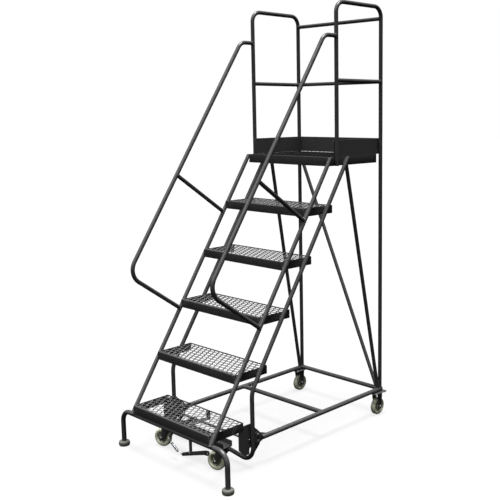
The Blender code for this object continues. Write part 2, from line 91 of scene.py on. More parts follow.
# ------------------------------------------------------------------ materials
def new_material(name):
    m = bpy.data.materials.new(name)
    m.use_nodes = True
    nt = m.node_tree
    bsdf = nt.nodes["Principled BSDF"]
    return m, nt, bsdf


def node(nt, kind, **values):
    n = nt.nodes.new(kind)
    for k, v in values.items():
        setattr(n, k, v)
    return n


def noise(nt, coord, scale, detail=2.0, rough=0.5, distort=0.0):
    n = node(nt, "ShaderNodeTexNoise")
    n.inputs["Scale"].default_value = scale
    n.inputs["Detail"].default_value = detail
    n.inputs["Roughness"].default_value = rough
    n.inputs["Distortion"].default_value = distort
    nt.links.new(coord, n.inputs["Vector"])
    return n.outputs["Fac"]


def ramp(nt, fac, stops):
    r = node(nt, "ShaderNodeValToRGB")
    e = r.color_ramp.elements
    e[0].position, e[0].color = stops[0][0], (*stops[0][1], 1.0)
    e[1].position, e[1].color = stops[-1][0], (*stops[-1][1], 1.0)
    for p, c in stops[1:-1]:
        q = e.new(p)
        q.color = (*c, 1.0)
    nt.links.new(fac, r.inputs["Fac"])
    return r.outputs["Color"]


def span(nt, fac, lo, hi, a=0.0, b=1.0):
    m = node(nt, "ShaderNodeMapRange")
    m.inputs["From Min"].default_value = a
    m.inputs["From Max"].default_value = b
    m.inputs["To Min"].default_value = lo
    m.inputs["To Max"].default_value = hi
    nt.links.new(fac, m.inputs["Value"])
    return m.outputs["Result"]


def mix(nt, fac, a, b):
    """Blend two colour outputs by a factor output."""
    m = node(nt, "ShaderNodeMix", data_type="RGBA")
    nt.links.new(fac, m.inputs["Factor"])
    nt.links.new(a, m.inputs[6])
    nt.links.new(b, m.inputs[7])
    return m.outputs[2]


def bump(nt, height, strength, distance, below=None):
    b = node(nt, "ShaderNodeBump")
    b.inputs["Strength"].default_value = strength
    b.inputs["Distance"].default_value = distance
    nt.links.new(height, b.inputs["Height"])
    if below is not None:
        nt.links.new(below, b.inputs["Normal"])
    return b.outputs["Normal"]


def coords(nt):
    return node(nt, "ShaderNodeTexCoord").outputs["Object"]


def powder_coat(name, dark, light, rough, spec=0.5, peel=0.20):
    """Satin powder coat: fine orange peel, faint cloudiness, and specks of dust."""
    m, nt, b = new_material(name)
    c = coords(nt)
    cloud = noise(nt, c, 9.0, 4.0, 0.55)
    fine = noise(nt, c, 260.0, 2.0, 0.5)
    body = ramp(nt, cloud, [(0.30, dark), (0.72, light)])
    speck = ramp(nt, noise(nt, c, 1500.0, 1.0), [(0.70, (0, 0, 0)), (0.80, (1, 1, 1))])
    dust = ramp(nt, fine, [(0.0, tuple(1.9 * x for x in light)),
                           (1.0, tuple(1.6 * x for x in light))])
    nt.links.new(mix(nt, speck, body, dust), b.inputs["Base Color"])
    nt.links.new(span(nt, noise(nt, c, 34.0, 3.0), rough - 0.06, rough + 0.07, 0.3, 0.7),
                 b.inputs["Roughness"])
    big = bump(nt, noise(nt, c, 420.0, 1.0), peel, 0.0004)
    nt.links.new(bump(nt, noise(nt, c, 1300.0, 1.0), peel * 0.5, 0.0002, big),
                 b.inputs["Normal"])
    b.inputs["Specular IOR Level"].default_value = spec
    return m


def rubber(name, dark, mid, light, rough, spec=0.5, grain=0.25):
    """Moulded rubber: mottled colour, flow marks and a fine grain."""
    m, nt, b = new_material(name)
    c = coords(nt)
    n1 = noise(nt, c, 22.0, 5.0, 0.6, 0.4)
    col = ramp(nt, n1, [(0.28, dark), (0.5, mid), (0.75, light)])
    nt.links.new(col, b.inputs["Base Color"])
    nt.links.new(span(nt, noise(nt, c, 60.0, 3.0), rough - 0.07, rough + 0.08, 0.3, 0.7),
                 b.inputs["Roughness"])
    nt.links.new(bump(nt, noise(nt, c, 700.0, 2.0), grain, 0.0003), b.inputs["Normal"])
    b.inputs["Specular IOR Level"].default_value = spec
    return m


def plated(name, dark, light, rough, scale=1.0):
    """Zinc-plated steel: faint spangle, fine drawing lines and dulled patches."""
    m, nt, b = new_material(name)
    c = coords(nt)
    n1 = noise(nt, c, 120.0 * scale, 3.0, 0.6)
    col = ramp(nt, n1, [(0.3, dark), (0.7, light)])
    nt.links.new(col, b.inputs["Base Color"])
    nt.links.new(span(nt, noise(nt, c, 300.0 * scale, 2.0), rough - 0.08, rough + 0.12, 0.3, 0.7),
                 b.inputs["Roughness"])
    nt.links.new(bump(nt, noise(nt, c, 900.0, 2.0), 0.15, 0.0002), b.inputs["Normal"])
    b.inputs["Metallic"].default_value = 1.0
    return m


M_PAINT = powder_coat("frame_powder_coat", (0.050, 0.050, 0.051), (0.057, 0.057, 0.058), 0.34, 0.58, 0.02)
# The grating is the same black powder coat as the frame, coloured much lighter here as a painted highlight: the
# light the strand tops catch from above.
M_GRATE_PAINTED_HIGHLIGHT = powder_coat("grating_coat_painted_highlight", (0.210, 0.210, 0.212), (0.260, 0.260, 0.263), 0.38, 0.5)
# The deck mesh is the same powder coat as the treads, coloured near black here as painted shade on its strands.
M_DECK_PAINTED_SHADE = powder_coat("deck_coat_painted_shade", (0.011, 0.011, 0.011), (0.016, 0.016, 0.016), 0.50, 0.25)
M_WELD = powder_coat("weld_powder_coat", (0.054, 0.054, 0.055), (0.066, 0.066, 0.067), 0.34, 0.42, 0.3)
M_FOOT = rubber("foot_rubber", (0.090, 0.090, 0.080), (0.120, 0.120, 0.108), (0.150, 0.150, 0.135), 0.72)
M_TYRE = rubber("wheel_rubber", (0.620, 0.640, 0.480), (0.700, 0.720, 0.550), (0.760, 0.780, 0.610), 0.22, 0.7, 0.12)
# The wheel core is the tyre's cream rubber coloured about half as bright, painted shade for its recessed web.
M_HUB_PAINTED_SHADE = rubber("wheel_core_painted_shade", (0.300, 0.312, 0.235), (0.360, 0.372, 0.285), (0.420, 0.435, 0.335), 0.30, 0.6, 0.2)
M_ZINC = plated("zinc_plate", (0.50, 0.51, 0.53), (0.72, 0.73, 0.75), 0.30)
M_BOLT = plated("bolt_zinc", (0.30, 0.30, 0.31), (0.46, 0.46, 0.47), 0.38)
M_PLUG = rubber("plug_plastic", (0.010, 0.010, 0.010), (0.014, 0.014, 0.014), (0.018, 0.018, 0.018), 0.50, 0.4)

SLOT_OF = {s["node"]: s["material_slot"] for s in frame["record"]["subparts"]}
SLOT_LOOK = {"frame_paint": M_PAINT, "grating_paint": M_GRATE_PAINTED_HIGHLIGHT, "foot_rubber": M_FOOT,
             "wheel_rubber": M_TYRE, "zinc_plated": M_ZINC}
for name, ob in NODES.items():
    ob.data.materials.clear()
    ob.data.materials.append(SLOT_LOOK[SLOT_OF[name]])


# ------------------------------------------------------------------ mesh building
class Shape:
    """Vertices and faces of a piece while it is being built."""

    def __init__(self):
        self.v, self.f, self.m = [], [], []

    def ring(self, pts):
        i = len(self.v)
        self.v.extend((p[0], p[1], p[2]) for p in pts)
        return list(range(i, len(self.v)))

    def skin(self, a, b, mat=0, close=True):
        n = len(a)
        for k in range(n if close else n - 1):
            j = (k + 1) % n
            self.f.append((a[k], a[j], b[j], b[k]))
            self.m.append(mat)

    def cap(self, a, mat=0):
        self.f.append(tuple(a))
        self.m.append(mat)

    def add_mesh(self, me, mat=0, matrix=None):
        i = len(self.v)
        for q in me.vertices:
            p = matrix @ q.co if matrix is not None else q.co
            self.v.append(tuple(p))
        for poly in me.polygons:
            self.f.append(tuple(i + k for k in poly.vertices))
            self.m.append(mat)


def as_object(name, shape, mats, angle=32.0, smooth=True):
    me = bpy.data.meshes.new(name)
    me.from_pydata(shape.v, [], shape.f)
    for m in mats:
        me.materials.append(m)
    me.polygons.foreach_set("material_index", shape.m)
    bm = bmesh.new()
    bm.from_mesh(me)
    bmesh.ops.recalc_face_normals(bm, faces=bm.faces)
    bm.to_mesh(me)
    bm.free()
    if smooth:
        me.shade_smooth()
        me.set_sharp_from_angle(angle=math.radians(angle))
    me.update()
    ob = bpy.data.objects.new(name, me)
    bpy.context.scene.collection.objects.link(ob)
    return ob


def piece(name, shape, mats, body="root", replaces=(), angle=32.0):
    """Make a piece, ride it on its body and hide the nodes it stands for."""
    ob = as_object(name, shape, mats if isinstance(mats, (list, tuple)) else [mats], angle)
    return settle(ob, body, replaces)


def settle(ob, body="root", replaces=()):
    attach(ob, body)
    if replaces:
        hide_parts(*([replaces] if isinstance(replaces, str) else replaces))
    return ob


def baked(ob):
    """The object's evaluated mesh as a new mesh in world space; the object is removed."""
    bpy.context.view_layer.update()
    dg = bpy.context.evaluated_depsgraph_get()
    me = bpy.data.meshes.new_from_object(ob.evaluated_get(dg))
    me.transform(ob.matrix_world)
    bpy.data.objects.remove(ob, do_unlink=True)
    return me


def bend_path(points, radii, step=6.0):
    """A path through corner points with each corner turned on its own radius."""
    pts = [Vector(p) for p in points]
    out = [pts[0]]
    for i in range(1, len(pts) - 1):
        r = radii[i - 1]
        u = (pts[i - 1] - pts[i]).normalized()
        w = (pts[i + 1] - pts[i]).normalized()
        ang = u.angle(w)
        if r <= 0 or ang > math.radians(178):
            out.append(pts[i])
            continue
        cut = r / math.tan(ang / 2)
        mid = (u + w).normalized()
        centre = pts[i] + mid * (r / math.sin(ang / 2))
        start = pts[i] + u * cut - centre
        end = pts[i] + w * cut - centre
        sweep = start.angle(end)
        axis = start.cross(end).normalized()
        n = max(3, int(math.ceil(math.degrees(sweep) / step)))
        for k in range(n + 1):
            out.append(centre + Matrix.Rotation(sweep * k / n, 3, axis) @ start)
    out.append(pts[-1])
    return out


def path_frames(path, closed=False):
    """Tangent and two cross directions at each point, carried along without twist."""
    n = len(path)
    tans = []
    for i in range(n):
        if closed:
            t = path[(i + 1) % n] - path[i - 1]
        elif i == 0:
            t = path[1] - path[0]
        elif i == n - 1:
            t = path[-1] - path[-2]
        else:
            t = (path[i + 1] - path[i]).normalized() + (path[i] - path[i - 1]).normalized()
        tans.append(t.normalized())
    ref = Vector((0, 0, 1)) if abs(tans[0].z) < 0.9 else Vector((1, 0, 0))
    a = tans[0].cross(ref).normalized()
    rows = []
    prev = tans[0]
    for t in tans:
        turn = prev.rotation_difference(t)
        a = turn @ a
        a = (a - t * a.dot(t)).normalized()
        rows.append((t, a, t.cross(a)))
        prev = t
    return rows


def reach(p, d, target):
    """The point where a line from p along d meets a plane or the near side of a cylinder."""
    if target[0] == "plane":
        _, q, nrm = target
        s = (q - p).dot(nrm) / d.dot(nrm)
        return p + d * s
    _, q, axis, radius = target
    w = p - q
    w = w - axis * w.dot(axis)
    e = d - axis * d.dot(axis)
    aa, bb, cc = e.dot(e), 2 * w.dot(e), w.dot(w) - radius * radius
    disc = bb * bb - 4 * aa * cc
    s = -bb / (2 * aa) if disc < 0 else (-bb - math.sqrt(disc)) / (2 * aa)
    return p + d * s


def sweep(sh, path, radius, n=28, start=None, end=None, mat=0, chamfer=0.0006):
    """A round bar or tube along a path. An end is square, or coped to a target.
    Returns the two end rings as points."""
    rows = path_frames(path)
    rings = []
    for p, (t, a, b) in zip(path, rows):
        rings.append([p + (a * math.cos(TAU * k / n) + b * math.sin(TAU * k / n)) * radius
                      for k in range(n)])
    ends = []
    for idx, target in ((0, start), (-1, end)):
        d = -rows[0][0] if idx == 0 else rows[-1][0]
        if target is not None:
            rings[idx] = [reach(q, d, target) for q in rings[idx]]
        ends.append(list(rings[idx]))
    ids = []
    if start is None:
        c, t = path[0], rows[0][0]
        ids.append(sh.ring([c + (q - c) * ((radius - chamfer) / radius) for q in rings[0]]))
        rings[0] = [q + t * chamfer for q in rings[0]]
    for r in rings[:-1]:
        ids.append(sh.ring(r))
    if end is None:
        c, t = path[-1], rows[-1][0]
        ids.append(sh.ring([q - t * chamfer for q in rings[-1]]))
        ids.append(sh.ring([c + (q - c) * ((radius - chamfer) / radius) for q in rings[-1]]))
    else:
        ids.append(sh.ring(rings[-1]))
    for r, s in zip(ids, ids[1:]):
        sh.skin(r, s, mat)
    sh.cap(ids[0], mat)
    sh.cap(ids[-1], mat)
    return ends


def resample(loop, gap, closed):
    pts = [Vector(p) for p in loop]
    if closed:
        pts.append(pts[0])
    acc = [0.0]
    for a, b in zip(pts, pts[1:]):
        acc.append(acc[-1] + (b - a).length)
    total = acc[-1]
    n = max(8, int(total / gap))
    out = []
    j = 0
    count = n if closed else n + 1
    for i in range(count):
        s = total * i / n
        while j < len(acc) - 2 and acc[j + 1] < s:
            j += 1
        seg = acc[j + 1] - acc[j]
        f = (s - acc[j]) / seg if seg > 1e-9 else 0.0
        out.append(pts[j].lerp(pts[j + 1], f))
    return out, total / n


def wobble(i, seed):
    """A small repeatable irregularity between -1 and 1."""
    x = math.sin(i * 12.9898 + seed * 78.233) * 43758.5453
    return 2.0 * (x - math.floor(x)) - 1.0


def bead(sh, loop, radius=0.0021, closed=True, n=8, pitch=0.0034, seed=0.0, mat=0):
    """A weld bead along a line, with the ripples the torch leaves."""
    path, gap = resample(loop, 0.00125, closed)
    rows = path_frames(path, closed)
    ids = []
    m = len(path)
    for i, (p, (t, a, b)) in enumerate(zip(path, rows)):
        s = i * gap
        r = radius * (1.0 + 0.11 * abs(math.sin(PI * s / pitch)) + 0.06 * wobble(i // 3, seed))
        if not closed:
            e = min(s, (m - 1) * gap - s) / (1.4 * radius)
            if e < 1.0:
                r *= max(0.12, math.sqrt(max(0.0, 1.0 - (1.0 - e) ** 2)))
        ids.append(sh.ring([p + (a * math.cos(TAU * k / n) + b * math.sin(TAU * k / n)) * r
                            for k in range(n)]))
    for r, q in zip(ids, ids[1:]):
        sh.skin(r, q, mat)
    if closed:
        # the carried frame may arrive turned, so the last ring meets the nearest corner
        last = [Vector(sh.v[k]) for k in ids[-1]]
        first = Vector(sh.v[ids[0][0]])
        shift = min(range(n), key=lambda k: (last[k] - first).length)
        sh.skin(ids[-1][shift:] + ids[-1][:shift], ids[0], mat)
    else:
        sh.cap(ids[0], mat)
        sh.cap(ids[-1], mat)


def cylinder(at, axis, radius):
    return ("cyl", Vector(at), Vector(axis).normalized(), radius)


def turned(sh, profile, centre, axis, n=64, mats=None, closed=True):
    """Spin a profile of (radius, height along the axis) about an axis through centre."""
    axis = Vector(axis).normalized()
    ref = Vector((0, 0, 1)) if abs(axis.z) < 0.9 else Vector((1, 0, 0))
    a = axis.cross(ref).normalized()
    b = axis.cross(a)
    centre = Vector(centre)
    ids = []
    for r, h in profile:
        if r < 1e-7:
            ids.append(sh.ring([centre + axis * h]))
        else:
            ids.append(sh.ring([centre + axis * h + (a * math.cos(TAU * k / n)
                                                     + b * math.sin(TAU * k / n)) * r
                                for k in range(n)]))
    pairs = list(zip(ids, ids[1:]))
    if closed:
        pairs.append((ids[-1], ids[0]))
    for i, (p, q) in enumerate(pairs):
        mat = mats[i] if mats else 0
        if len(p) == 1 and len(q) == 1:
            continue
        if len(p) == 1 or len(q) == 1:
            tip, rim = (p[0], q) if len(p) == 1 else (q[0], p)
            for k in range(n):
                sh.f.append((tip, rim[k], rim[(k + 1) % n]))
                sh.m.append(mat)
        else:
            sh.skin(p, q, mat)


def rounded_profile(corners, radii, steps=4):
    """Round the corners of an open or closed 2D outline of (r, h) points."""
    n = len(corners)
    out = []
    for i, (p, r) in enumerate(zip(corners, radii)):
        if r <= 0:
            out.append(p)
            continue
        p0, p1 = Vector(corners[i - 1]).to_2d(), Vector(p).to_2d()
        p2 = Vector(corners[(i + 1) % n]).to_2d()
        u, w = (p0 - p1).normalized(), (p2 - p1).normalized()
        ang = u.angle(w)
        if ang > math.radians(176):
            out.append(p)
            continue
        cut = min(r / math.tan(ang / 2), 0.49 * (p0 - p1).length, 0.49 * (p2 - p1).length)
        rr = cut * math.tan(ang / 2)
        c = p1 + (u + w).normalized() * (rr / math.sin(ang / 2))
        s, e = p1 + u * cut - c, p1 + w * cut - c
        full = s.angle_signed(e)
        for k in range(steps + 1):
            th = -full * k / steps
            cs, sn = math.cos(th), math.sin(th)
            q = c + Vector((s.x * cs - s.y * sn, s.x * sn + s.y * cs))
            out.append((q.x, q.y))
    return out


def prism(sh, outline, frame_matrix, lo, hi, mat=0, edge=0.0):
    """A plate: a 2D outline swept from lo to hi along the frame's third axis, with its
    rims eased by a small chamfer."""
    pts = [Vector(p).to_2d() for p in outline]
    n = len(pts)

    def inset(d):
        res = []
        area = sum(pts[i].x * pts[(i + 1) % n].y - pts[(i + 1) % n].x * pts[i].y
                   for i in range(n))
        sgn = 1.0 if area > 0 else -1.0
        for i in range(n):
            a, b, c = pts[i - 1], pts[i], pts[(i + 1) % n]
            e1, e2 = (b - a).normalized(), (c - b).normalized()
            n1, n2 = Vector((-e1.y, e1.x)) * sgn, Vector((-e2.y, e2.x)) * sgn
            m = (n1 + n2)
            if m.length < 1e-6:
                m = n1
            m.normalize()
            res.append(b + m * (d / max(0.35, m.dot(n1))))
        return res

    def place(flat, h):
        return [frame_matrix @ Vector((p.x, p.y, h)) for p in flat]

    if edge > 0:
        small = inset(edge)
        stack = [place(small, lo), place(pts, lo + edge), place(pts, hi - edge), place(small, hi)]
    else:
        stack = [place(pts, lo), place(pts, hi)]
    ids = [sh.ring(s) for s in stack]
    for a, b in zip(ids, ids[1:]):
        sh.skin(a, b, mat)
    sh.cap(ids[0], mat)
    sh.cap(ids[-1], mat)


YZ = Matrix(((0, 0, 1, 0), (1, 0, 0, 0), (0, 1, 0, 0), (0, 0, 0, 1)))   # (u, v, h) -> (h, u, v)
XZ = Matrix(((1, 0, 0, 0), (0, 0, 1, 0), (0, 1, 0, 0), (0, 0, 0, 1)))   # (u, v, h) -> (u, h, v)
XY = Matrix.Identity(4)


def at(x, y, z, basis=XY):
    return Matrix.Translation((x, y, z)) @ basis


# ------------------------------------------------------------------ tube frame
BEADS = {"welds_left": Shape(), "welds_right": Shape(), "welds_middle": Shape()}
seed_count = [0]


def weld(group, loop, radius=0.0021, closed=True):
    seed_count[0] += 1
    bead(BEADS[group], loop, radius, closed, seed=float(seed_count[0]))


def tube_piece(name, points, radius, radii=(), start=None, end=None, welds=(None, None),
               step=6.0, n=28, body="root", node_name=None, weld_r=0.0021, extra=None):
    sh = Shape()
    path = bend_path(points, list(radii) + [0.0] * (len(points) - 2 - len(radii)), step)
    ends = sweep(sh, path, radius, n, start, end)
    for loop, group in zip(ends, welds):
        if group:
            weld(group, loop, weld_r)
    if extra:
        extra(sh)
    piece(name, sh, M_PAINT, body, node_name or name)
    return path


def stringer_y(offset, z):
    return offset + (z - RISE) * K


STR_F, STR_R = 0.033, 0.174
DECK_TOP_CUT = DECK_Z - 0.0010
XAX, YAX, ZAX = Vector((1, 0, 0)), Vector((0, 1, 0)), Vector((0, 0, 1))
STR_AX = Vector((0, K, 1)).normalized()

# front legs and their crossbar
tube_piece("front_leg_frame",
           [V(-LEG_X, R_BASE, 0.0105), V(-LEG_X, R_BASE, CROSS_Z),
            V(LEG_X, R_BASE, CROSS_Z), V(LEG_X, R_BASE, 0.0105)],
           R_BASE, (0.062, 0.062), step=5.0, n=36, node_name="front_leg_tube")

# stair stringers
lo_z = CROSS_Z + 0.020
for side, s in sides():
    hi = DECK_TOP_CUT
    tube_piece("stringer_front_" + side,
               [V(s * X_SIDE, stringer_y(STR_F, lo_z), lo_z),
                V(s * X_SIDE, stringer_y(STR_F, hi - 0.02), hi - 0.02)], R_TUBE,
               start=cylinder(V(0, R_BASE, CROSS_Z), XAX, R_BASE - 0.0002),
               end=("plane", V(0, 0, hi), ZAX), welds=("welds_" + side, None),
               node_name="front_stringer_" + side)

bend_z = RISE + (0.2710 - STR_R) / K
hi = DECK_TOP_CUT
tube_piece("stringer_rear",
           [V(-X_SIDE, stringer_y(STR_R, hi - 0.02), hi - 0.02), V(-X_SIDE, 0.2710, bend_z),
            V(-X_SIDE, 0.2710, 0.0330), V(0.0, 0.2710, 0.0720), V(X_SIDE, 0.2710, 0.0330),
            V(X_SIDE, 0.2710, bend_z),
            V(X_SIDE, stringer_y(STR_R, hi - 0.02), hi - 0.02)],
           R_TUBE, (0.12, 0.070, 0.300, 0.070, 0.12), start=("plane", V(0, 0, hi), ZAX),
           end=("plane", V(0, 0, hi), ZAX), step=5.0, node_name="rear_stringer_tube")

# guard rails
for side, s in sides():
    g = "welds_" + side
    x = s * X_SIDE
    base = cylinder(V(x, 0, BASE_Z), YAX, R_BASE - 0.0002)
    tube_piece("guard_loop_" + side,
               [V(x, POST_FRONT, DECK_Z - DECK_LIP), V(x, POST_FRONT, LOOP_TOP),
                V(x, POST_REAR, LOOP_TOP), V(x, POST_REAR, BASE_Z + R_BASE)],
               R_TUBE, (0.055, 0.055), end=base, welds=(None, g), step=5.0,
               node_name="guardrail_" + side)
    front = cylinder(V(x, POST_FRONT, 0), ZAX, R_TUBE - 0.0002)
    rear = cylinder(V(x, POST_REAR, 0), ZAX, R_TUBE - 0.0002)
    tube_piece("guard_mid_" + side,
               [V(x, POST_FRONT + R_TUBE + 0.002, MID_RAIL_Z),
                V(x, POST_REAR - R_TUBE - 0.002, MID_RAIL_Z)],
               0.0105, start=front, end=rear, welds=(g, g), node_name="mid_rail_" + side)

left_post = cylinder(V(-X_SIDE, POST_REAR, 0), ZAX, R_TUBE - 0.0002)
right_post = cylinder(V(X_SIDE, POST_REAR, 0), ZAX, R_TUBE - 0.0002)
for name, nd, z in (("guard_mid_rear", "mid_rail_rear", MID_RAIL_Z),
                    ("guard_top_rear", "top_rail_rear", TOP_RAIL_Z)):
    tube_piece(name, [V(-X_SIDE + R_TUBE + 0.002, POST_REAR, z),
                      V(X_SIDE - R_TUBE - 0.002, POST_REAR, z)],
               0.0105, start=left_post, end=right_post, welds=("welds_left", "welds_right"),
               node_name=nd)

# handrails
SLOPE, RAIL_TOP, STRUT = 1.49, 2.1490, -0.72


def rail_z(y):
    return 1.573 + SLOPE * (y - 0.435)


def meet_stringer(y0, z0):
    y = (STR_F + K * (z0 - STRUT * y0 - RISE)) / (1 - K * STRUT)
    return y, z0 + STRUT * (y - y0)


top_c = (0.435 + (RAIL_TOP - 1.573) / SLOPE, RAIL_TOP)
low_y = ((0.892 - STRUT * 0.084) - (1.573 - SLOPE * 0.435)) / (SLOPE - STRUT)
low_c = (low_y, rail_z(low_y))
slen = math.hypot(1.0, STRUT)
for side, s in sides():
    g = "welds_" + side
    x = s * X_SIDE
    stringer = cylinder(V(x, STR_F, RISE), STR_AX, R_TUBE - 0.0002)
    post = cylinder(V(x, POST_FRONT, 0), ZAX, R_TUBE - 0.0002)
    ey, ez = meet_stringer(*low_c)
    back = R_TUBE + 0.004
    tube_piece("rail_hand_" + side,
               [V(x, POST_FRONT - R_TUBE - 0.002, RAIL_TOP), V(x, *top_c), V(x, *low_c),
                V(x, ey - back / slen, ez - back * STRUT / slen)],
               R_TUBE, (0.060, 0.080), start=post, end=stringer, welds=(g, g), step=5.0,
               node_name="handrail_" + side)
    my = 0.343
    mz = rail_z(my)
    ey, ez = meet_stringer(my, mz)
    rail = cylinder(V(x, 0.435, 1.573), Vector((0, 1, SLOPE)), R_TUBE - 0.0002)
    tube_piece("rail_strut_" + side,
               [V(x, my + back / slen, mz + back * STRUT / slen),
                V(x, ey - back / slen, ez - back * STRUT / slen)],
               R_TUBE - 0.0004, start=rail, end=stringer, welds=(g, g),
               node_name="handrail_strut_" + side)

# floor frame
for side, s in sides():
    x = s * X_SIDE
    sh = Shape()
    y0, y1 = 0.3345, POST_REAR + R_BASE
    # round tube with a rolled front end, and the bolting tab welded along its inner side
    n = 36
    rings = [(y1, R_BASE - 0.0008), (y1 - 0.0008, R_BASE), (y0 + 0.0030, R_BASE),
             (y0 + 0.0009, R_BASE - 0.0009), (y0, R_BASE - 0.0030)]
    made = [sh.ring([V(x + r * math.cos(TAU * k / n), yy, BASE_Z + r * math.sin(TAU * k / n))
                     for k in range(n)]) for yy, r in rings]
    for a, b in zip(made, made[1:]):
        sh.skin(a, b)
    sh.cap(made[0])
    sh.cap(made[-1])
    tab = rounded_profile([(Y(0.298), 0.1120), (Y(0.372), 0.1400), (Y(0.372), 0.1580),
                           (Y(0.298), 0.1860)], [0.006, 0.004, 0.004, 0.006], 5)
    t0, t1 = sorted((s * (HALF_W + 0.0002), s * (HALF_W + 0.0042)))
    prism(sh, tab, YZ, t0, t1, edge=0.0007)
    for up in (-1.0, 1.0):
        zz = BASE_Z + up * 0.0112
        weld("welds_" + side, [(s * (HALF_W + 0.0052), Y(0.3375), zz), (s * (HALF_W + 0.0052), Y(0.350), zz),
                               (s * (HALF_W + 0.0052), Y(0.3640), BASE_Z + up * 0.0100)], 0.0019, closed=False)
    piece("floor_rail_" + side, sh, M_PAINT, "root", "base_rail_" + side)
    # plastic plug in the open rear end
    sh = Shape()
    turned(sh, [(0.0, 0.0032), (0.0060, 0.0031), (0.0104, 0.0022), (0.0119, 0.0008),
                (0.0121, -0.0004), (0.0100, -0.0030), (0.0, -0.0030)],
           V(x, y1, BASE_Z), YAX, 36, closed=False)
    piece("floor_rail_plug_" + side, sh, M_PLUG)

lb = cylinder(V(-X_SIDE, 0, BASE_Z), YAX, R_BASE - 0.0002)
rb = cylinder(V(X_SIDE, 0, BASE_Z), YAX, R_BASE - 0.0002)
for name, nd, yy in (("floor_bar_rear", "rear_crossbar", POST_REAR),
                     ("floor_bar_mid", "mid_crossbar", 0.7820)):
    tube_piece(name, [V(-X_SIDE + R_BASE + 0.002, yy, BASE_Z), V(X_SIDE - R_BASE - 0.002, yy, BASE_Z)],
               0.0124, start=lb, end=rb, welds=("welds_left", "welds_right"), node_name=nd, n=32)

# braces
for side, s in sides():
    x = s * X_SIDE
    tube_piece("brace_side_" + side,
               [V(s * 0.2900, 1.0200, DECK_Z - DECK_LIP - 0.006), V(x, 1.2602, BASE_Z + 0.020)],
               R_BRACE, start=("plane", V(0, 0, DECK_Z - DECK_LIP + 0.0004), ZAX),
               end=cylinder(V(x, 0, BASE_Z), YAX, R_BASE - 0.0002),
               welds=("welds_" + side, "welds_" + side), node_name="side_brace_" + side, n=24)
tube_piece("brace_rear",
           [V(-0.2915, POST_REAR, 1.4620), V(0.2840, POST_REAR, BASE_Z + 0.0215)], R_BRACE,
           start=left_post, end=cylinder(V(0, POST_REAR, BASE_Z), XAX, 0.0122),
           welds=("welds_left", "welds_right"), node_name="rear_brace", n=24)


# ------------------------------------------------------------------ treads and deck
def box_mesh(lo, hi, rounds=()):
    """A box as a bmesh, some of its edges rounded: rounds holds (test, width, segments)."""
    bm = bmesh.new()
    bmesh.ops.create_cube(bm, size=1.0)
    lo, hi = Vector(lo), Vector(hi)
    bmesh.ops.scale(bm, vec=hi - lo, verts=bm.verts)
    bmesh.ops.translate(bm, vec=(hi + lo) / 2, verts=bm.verts)
    for test, width, seg in rounds:
        es = [e for e in bm.edges if test((e.verts[0].co + e.verts[1].co) / 2, e)]
        if es:
            bmesh.ops.bevel(bm, geom=es, offset=width, segments=seg, profile=0.5, affect="EDGES")
    return bm


def bm_object(name, bm):
    me = bpy.data.meshes.new(name)
    bm.to_mesh(me)
    bm.free()
    ob = bpy.data.objects.new(name, me)
    bpy.context.scene.collection.objects.link(ob)
    return ob


def subtract(ob, cutter, how="DIFFERENCE"):
    m = ob.modifiers.new("cut", "BOOLEAN")
    m.operation = how
    m.object = cutter
    m.solver = "EXACT"


def sheet_frame(name, nd, rear_bar=0.0):
    """Folded pan round a mesh panel; with rear_bar its rear side is only a bar that high."""
    lo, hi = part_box(nd)
    e = 0.0004
    near = lambda a, b: abs(a - b) < 1e-5
    bm = box_mesh(lo, hi, (
        (lambda c, q: near(c.z, (lo.z + hi.z) / 2), 0.0026, 4),
        (lambda c, q: near(c.z, hi.z) and near(c.y, lo.y) and near(c.x, 0.0), 0.0030, 5),
        (lambda c, q: near(c.z, hi.z) and not near(c.y, lo.y)
            and abs(q.verts[0].co.z - q.verts[1].co.z) < 1e-6
            and (q.calc_length() > 0.15), 0.0009, 2)))
    ob = bm_object(name + "_tmp", bm)
    hollow = bm_object(name + "_a", box_mesh(
        (lo.x + SHEET, lo.y + SHEET, lo.z - 0.01), (hi.x - SHEET, hi.y - SHEET, hi.z - SHEET),
        ((lambda c, q: near(c.z, (lo.z - 0.01 + hi.z - SHEET) / 2), 0.0012, 3),)))
    mouth = bm_object(name + "_b", box_mesh(
        (lo.x + SHEET, lo.y + NOSING, hi.z - 0.012), (hi.x - SHEET, hi.y - SHEET, hi.z + 0.01)))
    subtract(ob, hollow)
    subtract(ob, mouth)
    cutters = [hollow, mouth]
    if rear_bar:
        cutters.append(bm_object(name + "_c", box_mesh(
            (lo.x + SHEET, hi.y - SHEET - 0.001, lo.z - 0.01),
            (hi.x - SHEET, hi.y + 0.01, hi.z - rear_bar))))
        subtract(ob, cutters[-1])
    me = baked(ob)
    for c in cutters:
        bpy.data.objects.remove(c, do_unlink=True)
    ob = bpy.data.objects.new(name, me)
    bpy.context.scene.collection.objects.link(ob)
    me.materials.clear()
    me.materials.append(M_PAINT)
    bv = ob.modifiers.new("eased", "BEVEL")
    bv.width = 0.0006
    bv.segments = 2
    bv.limit_method = "ANGLE"
    bv.angle_limit = math.radians(50)
    bv.use_clamp_overlap = True
    me = baked(ob)
    me.shade_smooth()
    me.set_sharp_from_angle(angle=math.radians(35))
    ob = bpy.data.objects.new(name, me)
    bpy.context.scene.collection.objects.link(ob)
    settle(ob, "root", nd)
    return lo, hi


SWD, LWD = 0.0332, 0.0560      # mesh opening across and along the step
STRAND_W, STRAND_T, TILT = 0.0037, 0.0020, math.radians(64)
BOND_RISE = 0.0031             # half the height between the two strands of a bond


